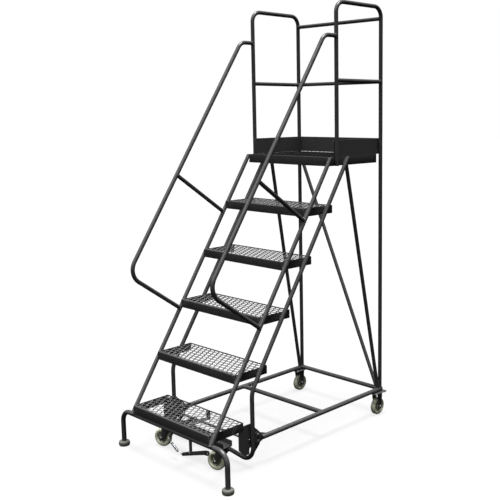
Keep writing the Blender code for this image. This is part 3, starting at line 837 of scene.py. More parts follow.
def expanded_metal(name, nd, lo, hi, phase=(0.0, 0.0), look=None, proud=0.0):
    """Raised expanded metal: each strand weaves from bond to bond, low on its left bond
    and high on its right one."""
    x0, x1 = lo.x + SHEET - 0.0008, hi.x - SHEET + 0.0008
    y0, y1 = lo.y + NOSING - 0.0008, hi.y - SHEET + 0.0008
    h, half = SWD / 2, LWD / 2
    ct, st = math.cos(TILT), math.sin(TILT)
    zc = hi.z + proud - 0.0006 - BOND_RISE - STRAND_W / 2 * st - STRAND_T * ct / 2
    c = 0.0005
    w2, t2 = STRAND_W / 2 + 0.0001, STRAND_T / 2
    sect = [(-w2, -t2 + c), (-w2 + c, -t2), (w2 - c, -t2), (w2, -t2 + c),
            (w2, t2 - c), (w2 - c, t2), (-w2 + c, t2), (-w2, t2 - c)]
    # at a bond each strand widens until it meets its neighbour
    grow = max(0.0, BOND_RISE / st - STRAND_W / 2) + 0.0002

    def section(kind):
        out = []
        for u, v in sect:
            if kind == 1 and u < 0:
                u -= grow
            elif kind == -1 and u > 0:
                u += grow
            out.append((u * ct - v * st, u * st + v * ct))
        return out

    shapes = {k: section(k) for k in (-1, 0, 1)}
    flat = 0.0036 / LWD          # half bond as a share of the half pitch
    ts = (0.0, flat, flat + 0.07, 0.30, 0.5, 0.70, 1.0 - flat - 0.07, 1.0 - flat)
    sh = Shape()
    first = int(math.floor((x0 - phase[0]) / h)) - 1
    last = int(math.ceil((x1 - phase[0]) / h)) + 1
    r0 = int(math.floor((y0 - phase[1]) / half)) - 1
    r1 = int(math.ceil((y1 - phase[1]) / half)) + 1
    for sidx in range(first, last + 1):
        pts = []
        for r in range(r0, r1):
            def bond(rr):
                if (sidx + rr) % 2 == 0:
                    return (sidx + 0.5) * h - BOND_RISE / st * ct, -BOND_RISE, -1
                return (sidx - 0.5) * h + BOND_RISE / st * ct, BOND_RISE, 1
            (xa, za, ka), (xb, zb, kb) = bond(r), bond(r + 1)
            for t in ts:
                if t <= flat:
                    f = 0.0
                elif t >= 1.0 - flat:
                    f = 1.0
                else:
                    g = (t - flat) / (1.0 - 2 * flat)
                    f = 0.45 * g + 0.55 * g * g * (3 - 2 * g)
                kind = ka if t <= flat else kb if t >= 1.0 - flat else 0
                pts.append((phase[0] + xa + (xb - xa) * f, phase[1] + (r + t) * half,
                            zc + za + (zb - za) * f, kind))
        rings = [p for p in pts if y0 - 0.006 < p[1] < y1 + 0.006]
        if len(rings) < 2:
            continue
        # stop exactly at the frame
        def cut_at(a, b, yy):
            f = (yy - a[1]) / (b[1] - a[1])
            return (a[0] + (b[0] - a[0]) * f, yy, a[2] + (b[2] - a[2]) * f, a[3] if f < 0.5 else b[3])
        inner = [p for p in rings if y0 < p[1] < y1]
        i0, i1 = pts.index(inner[0]), pts.index(inner[-1])
        line = [cut_at(pts[i0 - 1], pts[i0], y0)] + inner + [cut_at(pts[i1], pts[i1 + 1], y1)]
        ids = [sh.ring([(p[0] + u, p[1], p[2] + v) for u, v in shapes[p[3]]]) for p in line]
        for a, b in zip(ids, ids[1:]):
            sh.skin(a, b)
        sh.cap(ids[0])
        sh.cap(ids[-1])
    ob = as_object(name, sh, [look or M_GRATE_PAINTED_HIGHLIGHT], 40.0)
    bm = bmesh.new()
    bm.from_mesh(ob.data)
    for co, no in (((x0, 0, 0), (-1, 0, 0)), ((x1, 0, 0), (1, 0, 0))):
        cutset = bmesh.ops.bisect_plane(bm, geom=bm.verts[:] + bm.edges[:] + bm.faces[:],
                                        dist=1e-7, plane_co=co, plane_no=no, clear_outer=True)
        rim = [g for g in cutset["geom_cut"] if isinstance(g, bmesh.types.BMEdge)]
        rim = [e for e in rim if e.is_boundary]
        if rim:
            bmesh.ops.holes_fill(bm, edges=rim, sides=0)
    bmesh.ops.recalc_face_normals(bm, faces=bm.faces)
    bm.to_mesh(ob.data)
    bm.free()
    ob.data.shade_smooth()
    ob.data.set_sharp_from_angle(angle=math.radians(40))
    settle(ob, "root", nd)
    return ob


for n in range(1, TREADS + 1):
    lo, hi = sheet_frame("step_pan_%d" % n, "tread_%d_frame" % n, REAR_BAR)
    # the step meshes take the lighter grating colour, a painted highlight on the strands
    expanded_metal("step_mesh_%d" % n, "tread_%d_grating" % n, lo, hi,
                   (0.0, hi.y - 0.0080))
lo, hi = sheet_frame("deck_pan", "platform_frame")
# the deck mesh takes the near-black colour, painted shade
expanded_metal("deck_mesh", "platform_grating", lo, hi, (0.0, hi.y - 0.0080), M_DECK_PAINTED_SHADE, 0.0022)

# welds between each pan and the stringers that run past it
for n in range(1, TREADS + 2):
    nd = "tread_%d_frame" % n if n <= TREADS else "platform_frame"
    lo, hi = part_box(nd)
    for side, s in sides():
        for off in (STR_F, STR_R):
            for up in (-1.0, 1.0):
                q = Vector((0, 1, -K)).normalized() * (0.0062 * up)
                za, zb = lo.z + 0.004, min(hi.z - 0.004, DECK_TOP_CUT - 0.012)
                a = V(s * (HALF_W + 0.0010), stringer_y(off, za), za) + q
                b = V(s * (HALF_W + 0.0010), stringer_y(off, zb), zb) + q
                if n == 1 and off == STR_F:
                    a.z += 0.004
                a.y = max(a.y, lo.y + 0.002)
                if b.y > lo.y + 0.004 and a.y < hi.y:
                    weld("welds_" + side, [a, a.lerp(b, 0.5), b], 0.0019, closed=False)

for group, sh in BEADS.items():
    if sh.v:
        piece(group, sh, M_WELD, "root")


# ------------------------------------------------------------------ hardware
def hexagon(sh, base, axis, corner, height, turn=0.0, mat=0, both=False):
    """A chamfered hexagon head or nut body standing on base along axis."""
    axis = Vector(axis).normalized()
    ref = Vector((0, 0, 1)) if abs(axis.z) < 0.9 else Vector((1, 0, 0))
    a = axis.cross(ref).normalized()
    b = axis.cross(a)
    base = Vector(base)
    flat = corner * math.cos(PI / 6)
    rc = flat * 0.94
    n = 36
    rads = []
    for k in range(n):
        th = TAU * k / n
        rads.append(flat / math.cos((th % (PI / 3)) - PI / 6))

    def ring(rs, hs):
        return sh.ring([base + (a * math.cos(turn + TAU * k / n) + b * math.sin(turn + TAU * k / n)) * rs[k]
                        + axis * hs[k] for k in range(n)])

    drop = [(r - rc) * 0.577 for r in rads]
    stack = []
    if both:
        stack.append(ring([rc] * n, [0.0] * n))
        stack.append(ring(rads, drop))
    else:
        stack.append(ring(rads, [0.0] * n))
    stack.append(ring(rads, [height - d for d in drop]))
    stack.append(ring([rc] * n, [height] * n))
    for p, q in zip(stack, stack[1:]):
        sh.skin(p, q, mat)
    sh.cap(stack[0], mat)
    sh.cap(stack[-1], mat)


def washer(sh, base, axis, inner, outer, thick, mat=0):
    e = thick * 0.25
    turned(sh, [(inner, 0.0), (outer - e, 0.0), (outer, e), (outer, thick - e),
                (outer - e, thick), (inner, thick)], base, axis, 40,
           [mat] * 6)


def shank(sh, base, axis, radius, length, mat=0):
    """A threaded bolt end, its thread cut as a helix of small grooves."""
    prof = [(0.0, 0.0), (radius, 0.0)]
    pitch = 0.00125
    k = int((length - 0.0012) / pitch)
    for i in range(k):
        prof.append((radius, i * pitch + 0.0003))
        prof.append((radius - 0.0005, i * pitch + 0.0008))
    prof += [(radius - 0.0002, length - 0.0010), (radius - 0.0010, length), (0.0, length)]
    turned(sh, prof, base, axis, 24, [mat] * (len(prof) + 1), closed=False)


def bolt(sh, base, axis, corner=0.0066, height=0.0040, turn=0.3, mat=0, under=0.0014):
    """Washer and hexagon head standing on a surface."""
    washer(sh, base, axis, corner * 0.4, corner * 1.28, under, mat)
    hexagon(sh, Vector(base) + Vector(axis).normalized() * under, axis, corner, height, turn, mat)


def locknut(sh, base, axis, corner, height, radius, proud, turn=0.2, mat=0):
    axis = Vector(axis).normalized()
    base = Vector(base)
    hexagon(sh, base, axis, corner, height * 0.72, turn, mat, both=True)
    f = corner * 0.80
    turned(sh, rounded_profile([(radius * 0.96, height * 0.70), (f, height * 0.70), (f * 0.94, height),
                                (radius * 0.96, height)], [0, 0, 0.0006, 0.0003], 3),
           base, axis, 36)
    shank(sh, base + axis * (height * 0.5), axis, radius * 0.95, height * 0.5 + proud, mat)


def bolt_tip(sh, base, axis, radius, proud, corner, height, turn=0.1, mat=0):
    """A plain nut with the bolt's end standing out of it."""
    hexagon(sh, base, axis, corner, height, turn, mat, both=True)
    shank(sh, Vector(base) + Vector(axis).normalized() * (height * 0.6), axis, radius,
          height * 0.4 + proud, mat)


def plate_piece(name, outline, radii, matrix, lo, hi, mat, body="root", nd=(), edge=0.0007,
                holes=(), steps=5):
    """A cut plate with rounded corners, eased rims and drilled holes, given as
    (u, v, radius)."""
    sh = Shape()
    pts = rounded_profile(outline, radii if isinstance(radii, (list, tuple)) else [radii] * len(outline), steps)
    prism(sh, pts, matrix, lo, hi, edge=edge)
    ob = as_object(name + ("_tmp" if holes else ""), sh, [mat], 32.0)
    if holes:
        cutters = []
        for u, v, r in holes:
            hs = Shape()
            c = [(u + r * math.cos(TAU * k / 28), v + r * math.sin(TAU * k / 28)) for k in range(28)]
            prism(hs, c, matrix, lo - 0.004, hi + 0.004)
            q = as_object(name + "_hole", hs, [mat], smooth=False)
            subtract(ob, q)
            cutters.append(q)
        me = baked(ob)
        for q in cutters:
            bpy.data.objects.remove(q, do_unlink=True)
        me.shade_smooth()
        me.set_sharp_from_angle(angle=math.radians(32))
        ob = bpy.data.objects.new(name, me)
        bpy.context.scene.collection.objects.link(ob)
    return settle(ob, body, nd)


# toe boards
TOE_LO, TOE_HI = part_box("toe_board_left")[0].z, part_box("toe_board_left")[1].z
for side, s in sides():
    lo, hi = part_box("toe_board_" + side)
    plate_piece("kick_plate_" + side,
                [(lo.y, lo.z), (hi.y, lo.z), (hi.y, hi.z), (lo.y, hi.z)],
                [0.0008, 0.0008, 0.0022, 0.0060], YZ, lo.x, hi.x, M_PAINT, nd="toe_board_" + side,
                edge=0.0007)
lo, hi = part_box("toe_board_rear")
plate_piece("kick_plate_rear", [(lo.x, lo.z), (hi.x, lo.z), (hi.x, hi.z), (lo.x, hi.z)],
            [0.0008, 0.0008, 0.0022, 0.0022], XZ, lo.y, hi.y, M_PAINT, nd="toe_board_rear")

# lock plates, with the bolts that hold the floor rails and the pivot
LOCK = [(0.190, 0.2108), (0.190, 0.118), (0.228, 0.080), (0.2575, 0.080), (0.2575, 0.1130),
        (0.2845, 0.1130), (0.2845, 0.080), (0.296, 0.080), (0.330, 0.114), (0.330, 0.176),
        (0.268, 0.236), (0.2228, 0.236), (0.2228, 0.2108)]
for side, s in sides():
    lo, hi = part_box("lock_plate_" + side)
    plate_piece("corner_plate_" + side, [(Y(a), b) for a, b in LOCK],
                [0.004, 0.010, 0.010, 0.0015, 0.010, 0.010, 0.0015, 0.004, 0.010, 0.010, 0.008, 0.003,
                 0.0], YZ, lo.x, hi.x,
                M_PAINT, nd="lock_plate_" + side, edge=0.0008,
                holes=((Y(0.262), 0.150, 0.0068),))
    sh = Shape()
    inner, outer = (lo.x, hi.x) if s > 0 else (hi.x, lo.x)
    tab_x = s * (HALF_W + 0.0043)
    for yy, zz in ((0.3140, 0.1660), (0.3140, 0.1320)):
        bolt(sh, V(tab_x, yy, zz), XAX * s, 0.0068, 0.0042, 0.4)
        washer(sh, V(inner, yy, zz), -XAX * s, 0.003, 0.0084, 0.0014)
        locknut(sh, V(inner - s * 0.0014, yy, zz), -XAX * s, 0.0066, 0.0060, 0.0030, 0.0035)
    # pivot rod end, upset on the outer face of the plate
    turned(sh, rounded_profile([(0.0, 0.0), (0.0094, 0.0), (0.0094, 0.0013), (0.0, 0.0013)],
                               [0, 0, 0.0005, 0], 3), V(outer, 0.262, 0.150), XAX * s, 32,
           closed=False)
    piece("corner_bolts_" + side, sh, M_BOLT)

# pivot rod with spacers and clips either side of the arms
sh = Shape()
lo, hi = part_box("pivot_rod")
sweep(sh, [V(lo.x, 0.262, 0.150), V(hi.x, 0.262, 0.150)], 0.0064, 32)
for x in (-0.1340, -0.1260, 0.1260, 0.1340):
    o = 1.0 if x > 0 else -1.0
    d = 1.0 if abs(x) > 0.130 else -1.0
    washer(sh, V(x - 0.0 * d, 0.262, 0.150), XAX * o * d, 0.0064, 0.0118, 0.0016)
    turned(sh, [(0.0064, 0.0034), (0.0086, 0.0034), (0.0090, 0.0038), (0.0086, 0.0042), (0.0064, 0.0042)],
           V(x, 0.262, 0.150), XAX * o * d, 24)
piece("pivot_shaft", sh, M_ZINC, "root", "pivot_rod")

# front feet
for side, s in sides():
    sh = Shape()
    prof = rounded_profile(
        [(0.0, 0.0100), (0.0129, 0.0100), (0.0129, 0.0268), (0.0222, 0.0268), (0.0286, 0.0225),
         (0.0293, 0.0150), (0.0293, 0.0075), (0.0268, 0.0008), (0.0, 0.0008)],
        [0, 0, 0.0012, 0.0022, 0.0034, 0.0050, 0.0040, 0.0020, 0], 5)
    turned(sh, prof, V(s * LEG_X, R_BASE, 0.0), ZAX, 72, closed=False)
    # moulded grip ribs round the skirt, and rings under the sole
    for k in range(36):
        th = TAU * k / 36
        d = Vector((math.cos(th), math.sin(th), 0))
        c = V(s * LEG_X, R_BASE, 0.0)
        sweep(sh, [c + d * 0.0286 + ZAX * 0.0190, c + d * 0.0289 + ZAX * 0.0145,
                   c + d * 0.0289 + ZAX * 0.0080, c + d * 0.0272 + ZAX * 0.0030], 0.0008, 8,
              chamfer=0.0003)
    for r in (0.0100, 0.0160, 0.0220):
        turned(sh, [(r - 0.0016, 0.0010), (r - 0.0012, 0.0), (r + 0.0012, 0.0), (r + 0.0016, 0.0010)],
               V(s * LEG_X, R_BASE, 0.0), ZAX, 60)
    piece("foot_cup_" + side, sh, M_FOOT, "root", "front_foot_" + side)


# ------------------------------------------------------------------ casters
WHEEL_R, LEG_IN, LEG_T = 0.0508, 0.0183, 0.0030


def wheel(name, nd, body, centre, axis):
    """A moulded wheel: crowned hard-rubber tyre on a core coloured darker as painted shade
    in its recessed web, with a stepped web, spokes and a bearing sleeve."""
    half = rounded_profile(
        [(0.0064, 0.0172), (0.0125, 0.0172), (0.0150, 0.0155), (0.0172, 0.0062), (0.0235, 0.0048),
         (0.0300, 0.0105), (0.0340, 0.0144), (0.0415, 0.0146), (0.0480, 0.0114), (0.0506, 0.0045)],
        [0.0, 0.0010, 0.0012, 0.0020, 0.0025, 0.0030, 0.0030, 0.0050, 0.0060, 0.0045], 5)
    prof = half + [(r, -h) for r, h in reversed(half)]
    # faces inside the tyre (web and hub) take the darker core colour, painted shade
    mats = []
    for (r, h), (q, g) in zip(prof, prof[1:] + prof[:1]):
        mats.append(0 if min(r, q) > 0.0285 else 1)
    sh = Shape()
    turned(sh, prof, centre, axis, 112, mats)
    axis = Vector(axis).normalized()
    ref = Vector((0, 0, 1))
    a = axis.cross(ref).normalized()
    b = axis.cross(a)
    c = Vector(centre)
    for side in (-1.0, 1.0):
        # low ribs across the web, and a raised witness ring on the tyre
        for k in range(6):
            th = TAU * (k + 0.5) / 6
            d = a * math.cos(th) + b * math.sin(th)
            w = axis.cross(d)
            lo, hi = 0.0164, 0.0292
            p = [c + d * lo + w * 0.0016, c + d * hi + w * 0.0013,
                 c + d * hi - w * 0.0013, c + d * lo - w * 0.0016]
            q0 = sh.ring([x + axis * side * 0.0035 for x in p])
            q1 = sh.ring([x + axis * side * 0.0078 for x in p])
            q2 = sh.ring([x.lerp(c + d * (lo + hi) / 2, 0.25) + axis * side * 0.0086 for x in p])
            sh.skin(q0, q1, 1)
            sh.skin(q1, q2, 1)
            sh.cap(q2, 1)
            sh.cap(q0, 1)
        turned(sh, [(0.0372, side * 0.0142), (0.0375, side * 0.01495), (0.0379, side * 0.01495),
                    (0.0382, side * 0.0142)], c, axis, 112, [0] * 4)
        # steel bearing sleeve
        turned(sh, [(0.0061, side * 0.0150), (0.0061, side * 0.0176), (0.0082, side * 0.0176),
                    (0.0086, side * 0.0173), (0.0086, side * 0.0150)], c, axis, 48, [2] * 5)
    return piece(name, sh, [M_TYRE, M_HUB_PAINTED_SHADE, M_ZINC], body, nd, 28.0)


def u_fork(name, outline, radii, top, matrix, half_len, extra=None, bend=0.0045):
    """A fork pressed from one plate: a U section trimmed to the leg outline.
    Local frame: u along the wheel's travel, v up, h along the axle."""
    o, i = LEG_IN + LEG_T, LEG_IN
    low = -0.02
    sect = rounded_profile([(-o, low), (-o, top), (o, top), (o, low), (i, low), (i, top - LEG_T),
                            (-i, top - LEG_T), (-i, low)],
                           [0, bend, bend, 0, 0, bend - 0.0025, bend - 0.0025, 0], 6)
    sh = Shape()
    ids = [sh.ring([(u, q[0], q[1]) for q in sect]) for u in half_len]
    sh.skin(ids[0], ids[1])
    sh.cap(ids[0])
    sh.cap(ids[1])
    body = as_object(name + "_u", sh, [M_PAINT], smooth=False)
    sh = Shape()
    pts = rounded_profile(outline, radii, 6)
    ids = [sh.ring([(q[0], h, q[1]) for q in pts]) for h in (-0.04, 0.04)]
    sh.skin(ids[0], ids[1])
    sh.cap(ids[0])
    sh.cap(ids[1])
    mask = as_object(name + "_m", sh, [M_PAINT], smooth=False)
    subtract(body, mask, "INTERSECT")
    me = baked(body)
    bpy.data.objects.remove(mask, do_unlink=True)
    ob = bpy.data.objects.new(name + "_b", me)
    bpy.context.scene.collection.objects.link(ob)
    bv = ob.modifiers.new("eased", "BEVEL")
    bv.width = 0.0006
    bv.segments = 2
    bv.limit_method = "ANGLE"
    bv.angle_limit = math.radians(60)
    me = baked(ob)
    sh = Shape()
    sh.add_mesh(me, 0, matrix)
    if extra:
        extra(sh)
    return sh


def axle(name, nd, body, centre, along):
    """Through bolt: hexagon head and washer at one end, lock nut at the other."""
    sh = Shape()
    v = Vector(along).normalized()
    c = Vector(centre)
    o = LEG_IN + LEG_T + 0.0003
    sweep(sh, [c - v * o, c + v * o], 0.0060, 32)
    washer(sh, c - v * o, -v, 0.0050, 0.0112, 0.0012)
    hexagon(sh, c - v * (o + 0.0012), -v, 0.0096, 0.0050, 0.35)
    turned(sh, [(0.0, 0.0050), (0.0052, 0.0050), (0.0044, 0.0056), (0.0, 0.0056)],
           c - v * (o + 0.0012), -v, 32, closed=False)
    washer(sh, c + v * o, v, 0.0050, 0.0112, 0.0012)
    locknut(sh, c + v * (o + 0.0011), v, 0.0096, 0.0050, 0.0050, 0.0010)
    return piece(name, sh, M_BOLT, body, nd)


REAR_Y, SWIVEL_X, SWIVEL_Y, TRAIL = 1.2595, 0.220, 0.158, 0.037
for side, s in sides():
    c = V(s * X_SIDE, REAR_Y, WHEEL_R)
    lo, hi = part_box("rear_fork_" + side)
    top = hi.z - WHEEL_R
    under = top - 0.0034
    # legs face forward along Y; the local u axis maps to world Y
    m = Matrix.Translation(c) @ Matrix(((0, 1, 0, 0), (1, 0, 0, 0), (0, 0, 1, 0), (0, 0, 0, 1)))

    def extras(sh, lo=lo, hi=hi, c=c, s=s):
        pts = rounded_profile([(lo.x, lo.y), (hi.x, lo.y), (hi.x, hi.y), (lo.x, hi.y)],
                              [0.006] * 4, 6)
        prism(sh, pts, XY, hi.z - 0.0033, hi.z, edge=0.0006)

    sh = u_fork("rear_fork_" + side,
                [(-0.0220, under + 0.0006), (-0.0210, 0.0580), (-0.0110, -0.0030), (-0.0096, -0.0105),
                 (0.0096, -0.0105), (0.0110, -0.0030), (0.0190, 0.0580), (0.0200, under + 0.0006)],
                [0, 0.012, 0.006, 0.0092, 0.0092, 0.006, 0.012, 0], under + 0.0006, m, (-0.05, 0.05), extras)
    piece("rigid_fork_" + side, sh, M_PAINT, "root", "rear_fork_" + side)
    axle("rigid_axle_" + side, "rear_axle_" + side, "root", c, XAX)
    wheel("rigid_wheel_" + side, "rear_wheel_" + side, "rear_wheel_" + side, c, XAX)
    sh = Shape()
    for dx in (-0.0215, 0.0215):
        for yy in (lo.y + 0.0125, hi.y - 0.0115):
            bolt(sh, (c.x + dx, yy, hi.z), ZAX, 0.0062, 0.0036, 0.5 + dx * 20, under=0.0010)
            bolt_tip(sh, (c.x + dx, yy, hi.z - 0.0033), -ZAX, 0.0030, 0.0020, 0.0062, 0.0046)
    piece("rigid_bolts_" + side, sh, M_BOLT)

    # swivel casters on the carriage
    sx = s * SWIVEL_X
    p = V(sx, SWIVEL_Y, 0.0)
    lo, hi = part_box("swivel_plate_" + side)
    sh = Shape()
    prism(sh, rounded_profile([(sx - 0.031, lo.y), (sx + 0.031, lo.y), (sx + 0.031, hi.y), (sx - 0.031, hi.y)],
                              [0.006] * 4, 6), XY, 0.1272, hi.z, edge=0.0006)
    turned(sh, rounded_profile([(0.0062, 0.1152), (0.0215, 0.1152), (0.0258, 0.1195), (0.0258, 0.1240),
                                (0.0225, 0.1274), (0.0062, 0.1274)],
                               [0, 0.0020, 0.0025, 0.0020, 0.0008, 0], 5), p, ZAX, 64)
    for dx in (-0.0225, 0.0225):
        for dy in (-0.0215, 0.0215):
            bolt_tip(sh, (sx + dx, p.y + dy, 0.1272), -ZAX, 0.0026, 0.0012, 0.0052, 0.0038)
    piece("swivel_race_" + side, sh, M_PAINT, "caster_carriage", "swivel_plate_" + side)

    turn = math.radians(197.6)
    frame_m = Matrix.Translation((sx, p.y, WHEEL_R)) @ Matrix.Rotation(turn, 4, "Z")

    def extras(sh, frame_m=frame_m):
        base = frame_m @ Vector((0, 0, 0))
        turned(sh, rounded_profile([(0.0, 0.0590), (0.0195, 0.0590), (0.0195, 0.0628), (0.0150, 0.0640),
                                    (0.0, 0.0640)], [0, 0, 0.0012, 0.0010, 0], 3), base, ZAX, 56,
               closed=False)
        turned(sh, [(0.0, 0.0600), (0.0055, 0.0600), (0.0055, 0.0716), (0.0048, 0.0722), (0.0, 0.0722)],
               base, ZAX, 36, closed=False)
        hexagon(sh, base + ZAX * 0.0578, -ZAX, 0.0092, 0.0050, 0.2)

    sh = u_fork("front_fork_" + side,
                [(-0.0220, 0.0607), (-0.0220, 0.0490), (-0.0140, 0.0400), (0.0262, -0.0060),
                 (0.0290, -0.0105), (0.0450, -0.0105), (0.0478, -0.0040), (0.0330, 0.0360),
                 (0.0300, 0.0607)],
                [0, 0.006, 0.010, 0.006, 0.0078, 0.0078, 0.006, 0.010, 0], 0.0607, frame_m,
                (-0.03, 0.06), extras)
    piece("swivel_fork_" + side, sh, M_PAINT, "front_caster_" + side, "front_fork_" + side)
    c = frame_m @ Vector((TRAIL, 0, 0))
    v = (frame_m.to_3x3() @ Vector((0, 1, 0))).normalized()
    axle("swivel_axle_" + side, "front_axle_" + side, "front_caster_" + side, c, v)
    wheel("swivel_wheel_" + side, "front_wheel_" + side, "front_wheel_" + side, c, v)

# ------------------------------------------------------------------ carriage and lock
lo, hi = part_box("caster_carriage")
CF, CR, CLO, CHI, CX = Y(0.128), Y(0.188), 0.1312, 0.1600, 0.2550
sect = rounded_profile([(CF, CHI), (CF, CLO), (CR, CLO), (CR, CHI), (CR - SHEET, CHI),
                        (CR - SHEET, CLO + SHEET), (CF + SHEET, CLO + SHEET), (CF + SHEET, CHI)],
                       [0.0006, 0.0045, 0.0045, 0.0006, 0.0006, 0.0018, 0.0018, 0.0006], 5)
sh = Shape()
stack = [sh.ring([(x, u, w) for u, w in sect]) for x in (-CX, CX)]
sh.skin(stack[0], stack[1])
sh.cap(stack[0])
sh.cap(stack[1])
for s in (-1.0, 1.0):
    arm = [(CR - 0.0015, 0.1370), (Y(0.268), 0.1370), (Y(0.275), 0.1440), (Y(0.275), 0.1560),
           (Y(0.268), 0.1630), (Y(0.242), 0.1630), (CR - 0.0015, 0.1595)]
    prism(sh, rounded_profile(arm, [0, 0.006, 0.006, 0.006, 0.006, 0.008, 0], 5), YZ,
          s * 0.130 - 0.0025, s * 0.130 + 0.0025, edge=0.0007)
    # weld along both sides of each arm where it meets the channel
    for d in (-1.0, 1.0):
        x = s * 0.130 + d * 0.0030
        bead(sh, [(x, CR + 0.0004, 0.1395), (x, CR + 0.0004, 0.1480), (x, CR + 0.0004, 0.1575)],
             0.0018, False, seed=40.0 + s + d)
    for dx in (-0.0225, 0.0225):
        for yy in (0.1365, 0.1795):
            hexagon(sh, V(s * SWIVEL_X + dx, yy, CLO + SHEET), ZAX, 0.0050, 0.0034, 0.3)
tab = [(0.0870, 0.1080), (0.0950, 0.0980), (0.1040, 0.0980), (0.1295, 0.1320), (0.1295, 0.1500),
       (0.1270, 0.1500)]
prism(sh, rounded_profile([(Y(a), b) for a, b in tab], [0.003, 0.003, 0.003, 0.002, 0.001, 0.003], 4),
      YZ, -0.1280, -0.1240, edge=0.0006)
piece("carriage_channel", sh, M_PAINT, "caster_carriage", "caster_carriage")

# post, its strap under the first tread, and the lever on its pin
sh = Shape()
prism(sh, rounded_profile([(0.031, Y(0.094)), (0.043, Y(0.094)), (0.043, Y(0.106)), (0.031, Y(0.106))],
                          [0.0016] * 4, 4), XY, 0.0480, 0.2080, edge=0.0008)
prism(sh, rounded_profile([(0.021, Y(0.0257)), (0.053, Y(0.0257)), (0.053, Y(0.222)), (0.021, Y(0.222))],
                          [0.0015] * 4, 4), XY, 0.2072, 0.2110, edge=0.0006)
prism(sh, rounded_profile([(0.021, 0.2090), (0.053, 0.2090), (0.053, 0.2475), (0.021, 0.2475)],
                          [0.0010, 0.0010, 0.0030, 0.0030], 4), XZ, Y(0.2186), Y(0.2220), edge=0.0006)
loop = [(0.031 - 0.0004, Y(0.0936), 0.2066), (0.0434, Y(0.0936), 0.2066), (0.0434, Y(0.1064), 0.2066),
        (0.0306, Y(0.1064), 0.2066)]
bead(sh, loop, 0.0018, True, seed=51.0)
turned(sh, rounded_profile([(0.0, 0.0), (0.0040, 0.0), (0.0040, 0.0118), (0.0, 0.0118)],
                           [0, 0, 0.0008, 0], 3), V(0.037, 0.0990, 0.0596), -YAX, 32, closed=False)
piece("lock_post_bar", sh, M_PAINT, "root", "lock_post")

LV = [(-0.0640, -0.0245), (-0.0550, -0.0290), (0.0, -0.0105), (0.1180, 0.0270), (0.1460, 0.0300),
      (0.1600, 0.0420), (0.1560, 0.0590), (0.1300, 0.0545), (0.0, 0.0105), (-0.0600, -0.0120),
      (-0.0650, -0.0160)]
plate_piece("lock_lever_bar", [(0.037 + a, 0.0596 + b) for a, b in LV],
            [0.003, 0.004, 0.012, 0.020, 0.008, 0.007, 0.004, 0.008, 0.012, 0.004, 0.003], XZ,
            Y(0.0895), Y(0.0935), M_PAINT, "lock_lever", "lock_lever", edge=0.0007,
            holes=((0.037, 0.0596, 0.0044), (0.037 - 0.0575, 0.0596 - 0.0205, 0.0021),
                   (0.037 + 0.1440, 0.0596 + 0.0430, 0.0040)))
sh = Shape()
washer(sh, V(0.037, 0.0893, 0.0596), -YAX, 0.0040, 0.0085, 0.0010)
turned(sh, [(0.0040, 0.0014), (0.0062, 0.0014), (0.0065, 0.0018), (0.0062, 0.0022), (0.0040, 0.0022)],
       V(0.037, 0.0893, 0.0596), -YAX, 32)
washer(sh, V(0.037, 0.0937, 0.0596), YAX, 0.0040, 0.0075, 0.0003)
piece("lock_pin_clip", sh, M_ZINC, "root", ())

# extension spring: closed coils, with a hook into the carriage tab and one into the lever
top, bot = V(-0.1120, 0.0795, 0.0960), V(-0.0280, 0.0795, 0.0440)
ax = (bot - top).normalized()
e1 = ax.cross(YAX).normalized()
e2 = YAX
length = (bot - top).length
wire, mean = 0.0010, 0.0054
turns, i0, i1 = 27, 0.012, length - 0.012
path = []
hook_top = [V(-0.1262, 0.0990, 0.1030), V(-0.1262, 0.0950, 0.1045), V(-0.1255, 0.0885, 0.1050),
            V(-0.1225, 0.0825, 0.1038)]
hook_bot = [V(-0.0235, 0.0815, 0.0408), V(-0.0212, 0.0850, 0.0396), V(-0.0206, 0.0900, 0.0392),
            V(-0.0206, 0.0955, 0.0396)]
path += hook_top
steps = turns * 14
for k in range(steps + 1):
    f = k / steps
    th = TAU * turns * f + PI / 2
    grow = min(1.0, 6.0 * f + 0.25, 6.0 * (1 - f) + 0.25)
    path.append(top + ax * (i0 + (i1 - i0) * f) + (e1 * math.cos(th) + e2 * math.sin(th)) * mean * grow)
path += hook_bot
sh = Shape()
sweep(sh, path, wire, 8, chamfer=0.0003)
ob = as_object("lock_spring_coil", sh, [M_ZINC], 60.0)
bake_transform(ob)
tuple(top)
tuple(bot)
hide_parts("lock_spring")


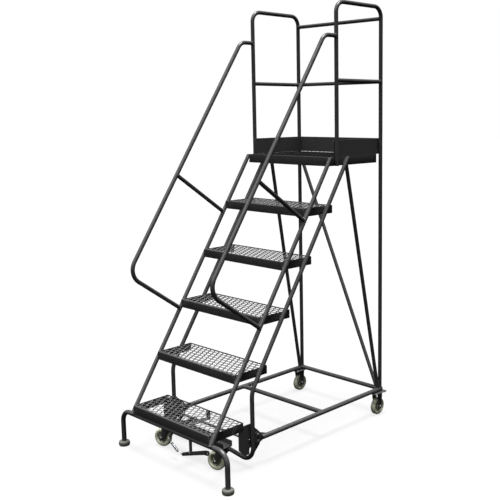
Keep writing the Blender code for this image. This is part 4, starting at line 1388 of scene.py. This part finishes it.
# ------------------------------------------------------------------ floor, light, camera
def studio():
    m, nt, b = new_material("studio_floor")
    c = coords(nt)
    col = ramp(nt, noise(nt, c, 0.6, 3.0), [(0.3, (0.078, 0.078, 0.079)), (0.7, (0.082, 0.082, 0.083))])
    nt.links.new(col, b.inputs["Base Color"])
    b.inputs["Roughness"].default_value = 0.9
    b.inputs["Emission Color"].default_value = (1.0, 1.0, 1.0, 1.0)
    b.inputs["Emission Strength"].default_value = 0.80
    b.inputs["Specular IOR Level"].default_value = 0.1
    bm = bmesh.new()
    bmesh.ops.create_circle(bm, cap_ends=True, segments=96, radius=45.0)
    floor = bm_object("studio_floor", bm)
    floor.location.z = -0.0002
    floor.data.materials.append(m)
    floor.visible_diffuse = False
    floor.visible_glossy = False

    w = bpy.data.worlds.new("studio")
    bpy.context.scene.world = w
    w.use_nodes = True
    nt = w.node_tree
    bg = nt.nodes["Background"]
    tc = node(nt, "ShaderNodeTexCoord")
    sep = node(nt, "ShaderNodeSeparateXYZ")
    nt.links.new(tc.outputs["Generated"], sep.inputs[0])
    col = ramp(nt, span(nt, sep.outputs["Z"], 0.0, 1.0, -1.0, 1.0),
               [(0.0, (0.01, 0.01, 0.01)), (0.48, (0.01, 0.01, 0.01)), (0.54, (0.08, 0.08, 0.08)),
                (0.62, (0.26, 0.26, 0.26)), (0.80, (0.32, 0.32, 0.32)), (1.0, (0.35, 0.35, 0.35))])
    lp = node(nt, "ShaderNodeLightPath")
    white = node(nt, "ShaderNodeRGB")
    white.outputs[0].default_value = (1.0, 1.0, 1.0, 1.0)
    nt.links.new(mix(nt, lp.outputs["Is Camera Ray"], col, white.outputs[0]), bg.inputs["Color"])
    bg.inputs["Strength"].default_value = 1.0

    def sun(name, come_from, strength, angle):
        d = bpy.data.lights.new(name, "SUN")
        d.energy = strength
        d.angle = math.radians(angle)
        o = bpy.data.objects.new(name, d)
        o.rotation_euler = (-Vector(come_from)).to_track_quat("-Z", "Y").to_euler()
        bpy.context.scene.collection.objects.link(o)

    sun("soft_top", (0.075, -0.030, 1.0), 7.8, 22.0)
    sun("soft_key", (-0.15, -1.0, 0.85), 0.70, 30.0)


studio()

YAW, PITCH, ROLL = 0.7445, 0.154, -0.0087
cam = bpy.data.objects.new("camera", bpy.data.cameras.new("camera"))
fw = Vector((-math.sin(YAW) * math.cos(PITCH), math.cos(YAW) * math.cos(PITCH), -math.sin(PITCH)))
right = Vector((math.cos(YAW), math.sin(YAW), 0.0))
up = right.cross(fw)
r2 = right * math.cos(ROLL) + up * math.sin(ROLL)
u2 = right * -math.sin(ROLL) + up * math.cos(ROLL)
cam.matrix_world = Matrix(((r2.x, u2.x, -fw.x, 3.134), (r2.y, u2.y, -fw.y, -2.2824 + FRONT),
                           (r2.z, u2.z, -fw.z, 1.7632), (0, 0, 0, 1)))
cam.data.sensor_width = 36.0
cam.data.lens = 803.4605 / 500.0 * 36.0
cam.data.shift_x = -70.0 / 500.0
cam.data.shift_y = -14.0 / 500.0
cam.data.clip_end = 200.0
bpy.context.scene.collection.objects.link(cam)
bpy.context.scene.camera = cam
bpy.context.scene.view_settings.view_transform = "Standard"
